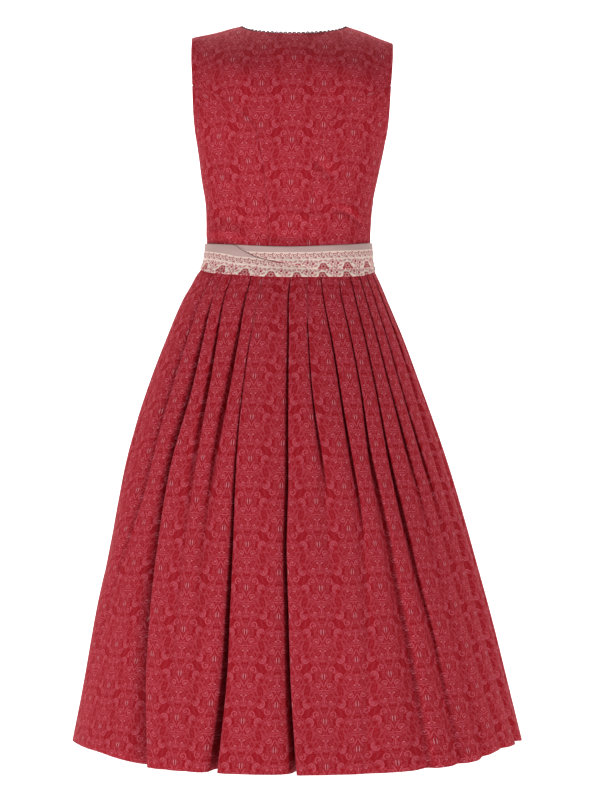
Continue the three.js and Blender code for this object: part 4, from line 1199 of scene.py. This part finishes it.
@dataclass
class NeckEdging:
    """Picot edging round the neckline: a fine cord with a row of small loops and pale stitches."""

    yarn: bpy.types.Material
    pitch: float = 7.2  # distance between loops
    loop_height: float = 3.7
    loop_width: float = 4.0
    cord_radius: float = 0.6
    loop_radius: float = 1.25
    bead_radius: float = 0.5

    def route(self) -> tuple[Array, Array, Array]:
        """The neckline: over the back from left to right, then round the front scoop.

        Returns:
            Points at even distances, their outward normals and the directions past the cloth's edge.
        """
        turn = np.linspace(0, np.pi, 160)
        step = 1.5
        points, normals = [], []
        for face, drop in ((Face.BACK, BACK_NECK_DROP), (Face.FRONT, FRONT_NECK_DROP)):
            x = face.value * NECK_HALF * np.cos(turn)
            z = np.minimum(-drop * np.sin(turn), FORM.shoulder(x) - 0.05)
            point = FORM.torso(face, x, z)
            across = FORM.torso(face, x + step, z) - FORM.torso(face, x - step, z)
            up = point - FORM.torso(face, x, z - step)
            points.append(point)
            normals.append(unit(np.cross(across, up)) * -face.value)
        point, out = (np.concatenate([back, front[1:-1], back[:1]]) for back, front in (points, normals))
        length = run_length(point[None], 1)[0]
        count = int(length[-1] / self.pitch)
        at = np.linspace(0, length[-1], count * 4, endpoint=False)
        path, normal = (
            np.stack([np.interp(at, length, line[:, i]) for i in range(3)], axis=-1) for line in (point, out)
        )
        normal = unit(normal)
        along = unit(np.roll(path, -1, axis=0) - np.roll(path, 1, axis=0))
        return path, normal, unit(np.cross(normal, along))

    def build(self) -> bpy.types.Object:
        """Makes the edging as one mesh: the cord, then loops and stitches at each pitch."""
        path, normal, past = self.route()
        path = path + past * 0.2 - normal * 0.5
        line, side = (np.concatenate([run[-1:], run, run[:1]]) for run in (path, normal))
        cord = tube_grid(line, np.full(len(line), self.cord_radius), 8, side)[1:-1]
        number = np.arange(len(path) * 8).reshape(len(path), 8)
        points, tints = [cord.reshape(-1, 3)], [np.zeros(len(path) * 8)]
        quads = [grid_quads(looped(looped(number, 0), 1))]
        for grids, tint in ((self.loops(path, normal, past), 0.0), (self.beads(path, normal, past), 0.4)):
            start = sum(len(p) for p in points)
            number = start + np.arange(grids[..., 0].size).reshape(grids.shape[:3])
            quads.append(grid_quads(looped(number, 2)))
            for end in (number[:, 0], number[:, -1][:, ::-1]):
                quads.extend(end[:, corners] for corners in ((0, 3, 2, 1), (0, 5, 4, 3)))
            points.append(grids.reshape(-1, 3))
            tints.append(np.full(number.size, tint))
        all_points = np.concatenate(points)
        uv = np.stack([all_points[:, 0] + all_points[:, 2], all_points[:, 1]], axis=-1)
        made = mesh_object("picot_edging", all_points, np.concatenate(quads), uv, np.concatenate(tints))
        declare(made, "neck_trim", self.yarn)
        return made

    def loops(self, path: Array, normal: Array, past: Array) -> Array:
        """Small loops that stand past the cord, one at each pitch, (loops, rings, sides, 3)."""
        foot, up, out = path[::4], past[::4], normal[::4]
        along = unit(np.cross(up, out))
        swing = np.linspace(-0.25, np.pi + 0.25, 11)
        arch = (
            foot[:, None]
            + along[:, None] * (np.cos(swing) * self.loop_width / 2)[:, None]
            + up[:, None] * ((np.sin(swing) + 0.25) / 1.25 * self.loop_height)[:, None]
        )
        wobble = 0.25 * np.sin(np.arange(len(foot)) * 2.4)
        arch = arch + out[:, None] * wobble[:, None, None]
        return tube_grid(arch, np.full(11, self.loop_radius), 6, np.repeat(out[:, None], 11, axis=1))

    def beads(self, path: Array, normal: Array, past: Array) -> Array:
        """Round pale stitches on the cord between the loops, (stitches, rings, sides, 3)."""
        foot, up, out = path[::4], past[::4], normal[::4]
        stitch = foot + up * 0.5 + out * 1.0 + unit(np.cross(up, out)) * self.pitch / 2
        lat, lon = np.linspace(-np.pi / 2, np.pi / 2, 5), np.linspace(0, 2 * np.pi, 6, endpoint=False)
        flat = np.cos(lat)
        ball = (np.outer(flat, np.cos(lon)), np.outer(flat, np.sin(lon)), np.outer(np.sin(lat), np.ones(6)))
        return stitch[:, None, None] + np.stack(ball, axis=-1)[None] * self.bead_radius


# ---------------------------------------------------------------- skirt


@dataclass(frozen=True)
class FoldSection:
    """Cross-section of one fold, as control points from the middle of one panel to the next.

    Each row gives a place along the ring and a depth. A soft fold is a rounded valley. A knife fold
    runs under the next panel's edge, turns back on itself inside and comes up round the edge.
    Places left of the edge are shares of the left run, places right of it shares of the right run
    or of the underlap, and depths are shares of the fold's depth.
    """

    # soft: share of left run (-) or right run (+), depth
    # knife: left share, underlap share, right share, depth, share of the gap before the edge
    rows: tuple[tuple[float, float, float, float, float, float, float], ...] = (
        (-1.00, 0.00, -1.00, 0.00, 0.00, 0.00, 0.0),
        (-0.66, 0.05, -0.60, 0.00, 0.00, 0.04, -0.4),
        (-0.42, 0.30, -0.24, 0.00, 0.00, 0.18, -0.6),
        (-0.20, 0.72, -0.05, -0.12, 0.00, 0.50, -0.6),
        (-0.04, 0.98, 0.00, 0.12, 0.00, 0.95, -0.4),
        (0.06, 1.00, 0.00, 1.00, 0.00, 1.00, 0.2),
        (0.15, 0.86, 0.00, 0.92, 0.00, 0.66, 0.4),
        (0.25, 0.60, 0.00, 0.30, 0.00, 0.44, 0.4),
        (0.34, 0.37, 0.00, -0.07, 0.00, 0.24, 0.4),
        (0.43, 0.20, 0.00, -0.12, 0.00, 0.07, 0.4),
        (0.53, 0.09, 0.00, -0.03, 0.015, -0.01, 0.4),
        (0.66, 0.03, 0.00, 0.00, 0.12, -0.02, 0.4),
        (0.82, 0.00, 0.00, 0.00, 0.50, 0.00, 0.2),
        (1.00, 0.00, 0.00, 0.00, 1.00, 0.00, 0.0),
    )

    def controls(
        self, left: Array, right: Array, lap: Array, gap: Array, depth: Array, sharp: Array
    ) -> tuple[Array, Array]:
        """Control points of many folds at once.

        Args:
            left: Run from the left panel's middle to the fold, (rows, pleats).
            right: Run from the fold to the right panel's middle.
            lap: Underlap of a knife fold.
            gap: Open width before its edge.
            depth: Depth of the fold.
            sharp: Share of the knife form, 0 to 1.

        Returns:
            Place along the ring and depth of each control point, (rows, pleats, points).
        """
        table = np.array(self.rows)
        left, right, lap, gap = (run[..., None] for run in (left, right, lap, gap))
        soft_at = table[:, 0] * np.where(table[:, 0] < 0, left, right)
        knife_at = table[:, 2] * left + table[:, 3] * lap + table[:, 4] * right + table[:, 6] * gap
        share = sharp[..., None]
        at = soft_at * (1 - share) + knife_at * share
        deep = (table[:, 1] * (1 - share) + table[:, 5] * share) * depth[..., None]
        return at, deep

    def sample(self, controls: Array, steps: Array) -> Array:
        """Smooth curve through the control points at parameter values, one cubic between each pair."""
        last = controls.shape[-1] - 1
        i = np.minimum(steps.astype(int), last - 1)
        u = steps - i
        padded = np.concatenate([controls[..., :1], controls, controls[..., -1:]], axis=-1)
        a, b, c, d = (padded[..., i + k] for k in range(4))
        return b + 0.5 * u * (c - a + u * (2 * a - 5 * b + 4 * c - d + u * (3 * (b - c) + d - a)))


@dataclass
class Skirt:
    """The pleated skirt, back and front panels meeting at the side seams."""

    fabric: bpy.types.Material
    rows: int = 88
    fold: FoldSection = field(default_factory=FoldSection)
    lap_share: float = 0.75  # underlap of a knife fold as a share of its depth
    lap_least: float = 3.0
    deepen: float = 1.3  # the cloth's folds against the table's depths
    opening: float = 26.0  # height over which a late fold opens
    samples: int = 27  # points along each fold's curve, both ends counted

    def heights(self) -> Array:
        """Heights of the rows, closer together below the waist."""
        t = np.linspace(0, 1, self.rows)
        return WAIST_Z + (HEM_Z - WAIST_Z) * (0.72 * t + 0.28 * t * t)

    def hem_rise(self, angle: Array, z: Array) -> Array:
        """Rise of the rows towards the hem: the table's value times the squared share of the way down."""
        wrapped = (angle + 180) % 360 - 180
        return table_curve(HEM_RISE, 1, wrapped) * ((WAIST_Z - z) / (WAIST_Z - HEM_Z)) ** 2

    def curves(self, heights: tuple, rows: Iterable[tuple], z: Array) -> Array:
        """Smooth values at heights z of rows of numbers known at a few heights, (z, rows)."""
        return np.stack([table_curve(tuple(zip(heights, row)), 1, z) for row in rows], axis=1)

    def pleat_columns(self, z: Array) -> tuple[Array, Array, Array, Array]:
        """Angle, depth, sharpness and open gap of every pleat at heights z, each (rows, pleats)."""
        angles = self.curves(ANGLE_HEIGHTS, (pleat[:6] for pleat in PLEATS), z)
        depths = self.curves(FOLD_HEIGHTS, ((WAIST_FOLD, *pleat[6:9]) for pleat in PLEATS), z)
        sharps = self.curves(FOLD_HEIGHTS, ((1.0, *pleat[9:]) for pleat in PLEATS), z)
        fade = clamp01((WAIST_Z - z) / (WAIST_Z - FOLD_HEIGHTS[0]))[:, None] * np.ones(len(PLEATS))
        for pleat, start in FOLD_STARTS:
            fade[:, pleat] *= 0.02 + 0.98 * ease((start - z) / self.opening)
        gaps = np.zeros_like(depths)
        for pleat, *widths in FOLD_GAPS:
            gaps[:, pleat] = self.curves(FOLD_HEIGHTS, [(0.0, *widths)], z)[:, 0] * fade[:, pleat]
        return angles, self.deepen * depths * fade, sharps, gaps

    def build(self) -> list[bpy.types.Object]:
        """Makes both skirt panels from one run of folds all round.

        Each fold's curve is laid along the section's ring by arc length and let in by its depth.
        The print runs down the middle of each panel, and the step to the next panel's print is
        spread over the hidden part of the fold, or over all of a soft one.
        """
        z = self.heights()
        rows = len(z)
        dial = np.arange(-200.0, 480.0, 0.5)
        ring = FORM.ring(dial[None, :], z[:, None])
        arc = run_length(ring, 1, (0, 1))
        arc = arc - arc[:, dial == 0.0]
        angles, depths, sharps, gaps = self.pleat_columns(z)
        wide = np.concatenate([angles[:, -1:] - 360, angles, angles[:, :1] + 360], axis=1)
        fold_at = np.stack([np.interp(wide[r], dial, arc[r]) for r in range(rows)])
        middle = (fold_at[:, :-1] + fold_at[:, 1:]) / 2
        left, right = fold_at[:, 1:-1] - middle[:, :-1], middle[:, 1:] - fold_at[:, 1:-1]
        # an underlap starts at the waist and keeps within its panel and twice the fold's depth
        lap = np.minimum(self.lap_least + self.lap_share * depths, 0.7 * right)
        lap = np.minimum(lap * clamp01((WAIST_Z - z) / 12)[:, None], 2.0 * depths)
        gaps = np.minimum(gaps, 0.55 * np.minimum(left, right))
        at, deep = self.fold.controls(left, right, lap, gaps, depths, sharps)
        steps = np.linspace(0, len(self.fold.rows) - 1, self.samples)[:-1]
        place, sunk = self.fold.sample(at, steps), self.fold.sample(deep, steps)
        along = fold_at[:, 1:-1, None] + place
        turn = np.stack([np.interp(along[r].ravel(), arc[r], dial) for r in range(rows)])
        level = z[:, None] + self.hem_rise(turn, z[:, None])
        out = FORM.ring_out(turn, level)
        outer = FORM.ring(turn, level) - out * sunk.reshape(rows, -1)[..., None]
        wave = 0.8 * np.sin(turn / 5.3 + z[:, None] / 47) * ease((WAIST_Z - z) / 300)[:, None]
        outer = outer + out * wave[..., None]
        uv = self.print_map(z, dial, arc, middle, left, right, place, steps, sharps)
        left_seam, right_seam = ((after + 1) * len(steps) for after in (LEFT_SEAM_AFTER, RIGHT_SEAM_AFTER))
        total = outer.shape[1]
        spans = (
            ("back", left_seam % total, right_seam, "centre_back"),
            ("front", right_seam, left_seam, "front_left"),
        )
        pieces = []
        for side, start, stop, above in spans:
            columns = np.arange(start, stop + 1) % total
            part_uv = self.unbroken(uv[:, columns], columns)
            made = shell(f"skirt_{side}_panel", self.sewn(outer[:, columns]), part_uv, CLOTH)
            declare_sheet(made, f"skirt_{side}", self.fabric)
            pieces.append(made)
        return pieces

    def sewn(self, outer: Array) -> Array:
        """The panel's outer face, turned in a little beside the side seams."""
        distance = run_length(outer, 1)
        near = np.minimum(distance, distance[:, -1:] - distance)
        return outer - unit(outer * [1, 1, 0]) * (1.3 * np.exp(-near / 1.8))[..., None]

    def unbroken(self, uv: Array, columns: Array) -> Array:
        """Print coordinates of a panel that passes the last column, carried on without a jump."""
        last = int(np.argmax(columns))
        if last == len(columns) - 1:
            return uv
        step = uv[:, last] - uv[:, last + 1]
        uv = uv.copy()
        uv[:, last + 1 :, 0] += np.mean(step[..., 0]) + 1.0
        return uv

    def print_map(
        self,
        z: Array,
        dial: Array,
        arc: Array,
        middle: Array,
        left: Array,
        right: Array,
        place: Array,
        steps: Array,
        sharps: Array,
    ) -> Array:
        """Print coordinates of the run of folds.

        A panel's print is straight down its own middle line: its side coordinate is the distance
        from that line and its down coordinate the length run along it, both turned by the line's
        lean. Across a fold the two panels' prints are blended.

        Args:
            z: Heights of the rows.
            dial: Angles of the ring table.
            arc: Ring length at those angles, for each row.
            middle: Ring place of each panel's middle, (rows, pleats + 1).
            left: Run from the left middle to the fold.
            right: Run from the fold to the right middle.
            place: Sampled places from the fold, (rows, pleats, steps).
            steps: Parameter values of the samples.
            sharps: Sharpness of each fold.

        Returns:
            Coordinates in millimetres, (rows, columns, 2).
        """
        rows = len(z)
        angle = np.stack([np.interp(middle[r], arc[r], dial) for r in range(rows)])
        line = FORM.ring(angle, z[:, None])
        down = run_length(line, 0)
        slope = np.gradient(line, axis=0)
        level = FORM.ring_out(angle, z[:, None])
        sideways = np.stack([-level[..., 1], level[..., 0], 0 * level[..., 0]], axis=-1)
        sine = np.sum(unit(slope) * sideways, axis=-1)
        kernel = np.ones(9) / 9
        padded = np.pad(sine, ((4, 4), (0, 0)), mode="edge")
        sine = np.stack([np.convolve(column, kernel, "valid") for column in padded.T], axis=1)
        cosine = np.sqrt(1 - sine**2)
        run = left + right
        soft = (1.03 - sharps) ** 2
        width = np.sum(run * soft, axis=0) / np.sum(soft, axis=0)
        offset = np.concatenate([[0.0], np.cumsum(width)])
        from_left = place + left[..., None]
        from_right = place - right[..., None]
        hidden = ease((steps - 3.0) / 6.0)[None, None]
        spread = clamp01(from_left / run[..., None])
        share = spread + (hidden - spread) * sharps[..., None]

        def blended(base: Array, lean: Array) -> Array:
            """A coordinate from its value on each middle line and its change away from the line."""
            first = base[:, :-1, None] + from_left * lean[:, :-1, None]
            second = base[:, 1:, None] + from_right * lean[:, 1:, None]
            return (first * (1 - share) + second * share).reshape(rows, -1)

        return np.stack([blended(offset[None], cosine), blended(down, -sine)], axis=-1)


# ---------------------------------------------------------------- sash


@dataclass
class Sash:
    """The waist sash: two crossing stretches behind, one in front, a knot and two ends."""

    fabric: bpy.types.Material
    air: float = 0.7  # gap between a layer and what it lies on
    underlap: float = 7.0
    tuck: float = 3.0  # each end starts this far below the front stretch
    end_length: float = 165.0
    end_width: float = 45.0
    gathered: float = 30.0  # width of an end at the knot
    spread: float = 14.0  # how much wider it is lower down
    slant: float = 6.0  # how much lower its outer corner hangs

    def top(self, angle: Array) -> Array:
        """Height of the sash's top edge."""
        return table_curve(SASH_EDGES, 1, angle)

    def bottom(self, angle: Array) -> Array:
        """Height of the sash's bottom edge."""
        return table_curve(SASH_EDGES, 2, angle)

    def crossing(self, angle: Array) -> Array:
        """Height of the line where the stretches meet."""
        return table_curve(CROSSING, 1, angle)

    def band(
        self,
        name: str,
        node: str,
        angle: Array,
        edges: tuple[Array, Array],
        lift: Array,
        scroll_row: Array | None = None,
    ) -> bpy.types.Object:
        """Makes one stretch of the sash.

        The stretch lies on the dress form, lifted off it along its normals, with shallow ripples
        that run along it and small gathers across it.

        Args:
            name: Name of the piece.
            node: The solid it stands for.
            angle: Angles of its columns.
            edges: Top and bottom height at each angle.
            lift: Height of the layer under its cloth at each angle.
            scroll_row: Height of the print's scroll row at each angle; without it the print follows
                the top edge.

        Returns:
            The piece.
        """
        t = edge_spread(26, 0.3)[:, None]
        z = edges[0][None] * (1 - t) + edges[1][None] * t
        wide = angle[None] + 0 * t
        base = FORM.ring(wide, z)
        height = self.air + SASH_CLOTH + lift[None]
        length = run_length(base, 1, (0, 1))
        ripple = 0.45 * np.sin(z / 3.1 + length / 37) * np.sin(length / 29 + 1.3)
        gather = 0.5 * ease((wide - 62) / 20) * (wide < 100) * np.sin(length / 1.9) * (1 - t)
        roll = -0.5 * np.exp(-np.minimum(t, 1 - t) * 45 / 1.2)
        points = base + FORM.ring_normal(wide, z) * (height + ripple + gather + roll)[..., None]
        v = run_length(points, 0) if scroll_row is None else SashPrint.row + scroll_row[None] - z
        u = np.mean(length, axis=0)[None] + 0 * v
        made = shell(name, points[::-1], np.stack([u, v], axis=-1)[::-1], SASH_CLOTH)
        declare_sheet(made, node, self.fabric)
        return made

    def build(self) -> list[bpy.types.Object]:
        """Makes all the sash's pieces."""
        layer = self.air + SASH_CLOTH
        left, right, front = np.linspace(-90, 90, 241), np.linspace(-48, 90, 185), np.linspace(90, 270, 181)
        left_swap, right_swap = (ease((angle + 34) / 30) for angle in (left, right))
        meeting = self.crossing(left) - 0.4 + self.underlap * clamp01((left + 4) / 12)
        join = ease((CROSSING[0][0] + 4 - left) / 8)
        left_top = np.minimum(self.top(left), meeting * (1 - join) + self.top(left) * join)
        left_edges = (left_top, self.bottom(left))
        lower = self.crossing(right) + 0.4 - self.underlap * clamp01((-30 - right) / 6)
        right_edges = (self.top(right), np.minimum(self.top(right) - 4, lower))
        front_edges = (self.top(front), self.bottom(front))
        scroll_row = table_curve(LEFT_SCROLL_ROW, 1, left)
        return [
            self.band("sash_left", "sash_back_left", left, left_edges, layer * 0.9 * (1 - left_swap), scroll_row),
            self.band("sash_right", "sash_back_right", right, right_edges, layer * 0.9 * right_swap),
            self.band("sash_front_band", "sash_front", front, front_edges, 0 * front + layer),
            self.knot(),
            self.end("left", -1),
            self.end("right", 1),
        ]

    def knot(self) -> bpy.types.Object:
        """The knot: a squarish pillow of wrapped cloth, grooved where its turns cross."""
        low, high = (np.array(corner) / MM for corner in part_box("sash_knot"))
        middle, half = (low + high) / 2, (high - low) / 2
        lat = np.linspace(-np.pi / 2 + 0.02, np.pi / 2 - 0.02, 49)[:, None]
        lon = np.linspace(0, 2 * np.pi, 96, endpoint=False)[None]

        def rounded(value: Array, power: float) -> Array:
            """Sine or cosine raised to a power with its sign kept."""
            return np.sign(value) * np.abs(value) ** power

        x = rounded(np.cos(lat), 0.8) * rounded(np.cos(lon), 0.75)
        y = rounded(np.cos(lat), 0.8) * rounded(np.sin(lon), 0.75)
        z = rounded(np.sin(lat), 0.8) + 0 * lon
        groove = 0.12 * np.exp(-(((x - 0.45 * z) / 0.16) ** 2)) * (y > 0)
        fold = 0.93 + 0.05 * np.cos(9 * (z + 0.55 * x)) - groove
        points = middle + np.stack([x, y * 0.96, z], axis=-1) * half * fold[..., None]
        rows, columns = points.shape[:2]
        number = np.arange(rows * columns).reshape(rows, columns)
        quads = [grid_quads(looped(number, 1))]
        for ring, flip in ((number[0], True), (number[-1], False)):
            cap = grid_quads(np.stack([ring[: columns // 2], ring[columns // 2 :][::-1]]))
            quads.append(cap[:, ::-1] if flip else cap)
        flat = points.reshape(-1, 3)
        uv = np.stack([flat[:, 0] * 1.1, 24 + flat[:, 2] - middle[2]], axis=-1)
        made = mesh_object("sash_tie", flat, np.concatenate(quads), uv, np.zeros(len(flat)))
        declare(made, "sash_knot", self.fabric)
        return made

    def end(self, side: str, hand: int) -> bpy.types.Object:
        """One hanging end: gathered at the knot, spreading and rippling as it falls on the skirt."""
        start = float(self.bottom(180.0)) - self.tuck
        t = np.linspace(0, 1, 70)[:, None]
        s = np.linspace(0, 1, 31)[None]
        z = start - self.end_length * t - self.slant * hand * (s - 0.5) * ease(t)
        spread = self.gathered + self.spread * ease(t * 1.6)
        x = FORM.section(z)["centre"] + hand * (3 + 14 * t + spread * s)
        base = FORM.torso(Face.FRONT, x, z)
        out = grid_normals(base)
        out = out * np.sign(out[..., 1:2])
        ripple = (1.6 - 0.8 * t) * np.sin(s * 9.5 + 0.8 * t * hand) + 1.0 * np.sin(t * 9 + s * 3)
        points = base + out * (self.air + SASH_CLOTH + 2.2 + ripple)[..., None]
        uv = np.stack([self.end_length * t + 0 * s, self.end_width * s + 0 * t], axis=-1)
        made = shell(f"sash_tail_{side}", points, uv, SASH_CLOTH)
        declare_sheet(made, f"sash_end_{side}", self.fabric)
        return made


# ---------------------------------------------------------------- declarations


def declare(piece: bpy.types.Object, node: str, fabric: bpy.types.Material) -> None:
    piece.data.materials.append(fabric)
    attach(piece, "root")
    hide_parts(node)
    LOG.info("%s: %d points, %d faces", piece.name, len(piece.data.vertices), len(piece.data.polygons))


def declare_sheet(
    piece: bpy.types.Object, node: str, fabric: bpy.types.Material
) -> None:
    """Declares a cloth piece: gives it its fabric, hangs it on the root and hides the solid it stands for.

    Args:
        piece: The cloth piece.
        node: The solid it stands for.
        fabric: Its material.
    """
    declare(piece, node, fabric)


# ---------------------------------------------------------------- studio


@dataclass
class Studio:
    """Level camera behind the dress, pale floor and soft lights."""

    distance: float = 3.3
    aim: tuple[float, float] = (0.0096, -0.597)  # x and z of the camera
    millimetres_a_pixel: float = 1.6
    picture_height: float = 800.0
    film_width: float = 36.0
    floor_drop: float = 0.28  # floor below the hem: a worn dress ends above the ankle
    surround: float = 0.15  # strength of the white light from all round

    def camera(self) -> None:
        """Sets the camera: its focal length gives the scale at the distance of the side seams."""
        data = bpy.data.cameras.new("camera")
        data.sensor_fit = "AUTO"
        data.sensor_width = self.film_width
        data.lens = self.film_width * (self.distance / (self.millimetres_a_pixel * MM)) / self.picture_height
        data.clip_end = 100
        made = bpy.data.objects.new("camera", data)
        made.location = (self.aim[0], -self.distance, self.aim[1])
        made.rotation_euler = (math.pi / 2, 0, 0)
        bpy.context.scene.collection.objects.link(made)
        bpy.context.scene.camera = made

    def sweep(self) -> None:
        """A wide pale floor that curves up into a pale wall behind the dress."""
        low, radius, wall, reach, height = HEM_Z * MM - self.floor_drop, 2.6, 8.0, 9.0, 6.0
        turn = np.linspace(0, np.pi / 2, 24)
        y = np.concatenate([[-reach], wall - radius + radius * np.sin(turn), [wall]])
        z = np.concatenate([[low], low + radius * (1 - np.cos(turn)), [height]])
        x = np.array([-reach, reach])
        points = np.stack(np.broadcast_arrays(x[None], y[:, None], z[:, None]), axis=-1)
        number = np.arange(len(y) * 2).reshape(-1, 2)
        quads = grid_quads(number)
        mesh = bpy.data.meshes.new("floor")
        mesh.from_pydata(points.reshape(-1, 3).tolist(), [], quads.tolist())
        mesh.polygons.foreach_set("use_smooth", np.ones(len(quads), bool))
        tree = ShaderTree("floor_paint")
        place = tree.node("ShaderNodeTexCoord", {}, {}).outputs["Object"]
        grain = tree.noise(place, 0.3, 2.0)
        colour = tree.mix(grain, (0.93, 0.93, 0.93), (0.95, 0.95, 0.95))
        mesh.materials.append(tree.finish(colour, 0.9, grain, 0.0001, 0.0, (1, 1, 1)))
        made = bpy.data.objects.new("floor", mesh)
        bpy.context.scene.collection.objects.link(made)

    def light(self, name: str, place: Triple, size: float, power: float, target: Triple) -> None:
        """One square soft light, turned to its target."""
        data = bpy.data.lights.new(name, "AREA")
        data.shape, data.size, data.energy = "SQUARE", size, power
        made = bpy.data.objects.new(name, data)
        made.location = place
        aim = np.array(target) - np.array(place)
        level = math.hypot(aim[0], aim[1])
        made.rotation_euler = (math.atan2(level, -aim[2]), 0, math.atan2(-aim[0], aim[1]))
        bpy.context.scene.collection.objects.link(made)

    def build(self) -> None:
        """Makes camera, floor, lights and a white surround."""
        self.camera()
        self.sweep()
        middle = (0.0, 0.0, -0.55)
        self.light("left_light", (-2.75, -2.3, -1.0), 0.9, 64, middle)
        self.light("right_light", (2.4, -2.7, -1.0), 0.9, 51, middle)
        self.light("sweep_light", (0.0, 3.6, 4.6), 5.0, 820, (0.0, 5.8, -1.3))
        world = bpy.data.worlds.new("surround")
        world.use_nodes = True
        background = world.node_tree.nodes["Background"]
        background.inputs["Color"].default_value = (1, 1, 1, 1)
        background.inputs["Strength"].default_value = self.surround
        bpy.context.scene.world = world
        bpy.context.scene.view_settings.view_transform = "Standard"


# ---------------------------------------------------------------- the dress


def main() -> None:
    """Builds the dress piece by piece, then the studio."""
    logging.basicConfig(level=logging.INFO, format="%(name)s: %(message)s")
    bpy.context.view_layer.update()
    Studio().build()
    cotton = PrintedCotton().material()
    Bodice(cotton).build()
    Skirt(cotton).build()
    Sash(SashPrint().material()).build()
    NeckEdging(EdgingYarn().material()).build()


if __name__ == "__main__":
    main()
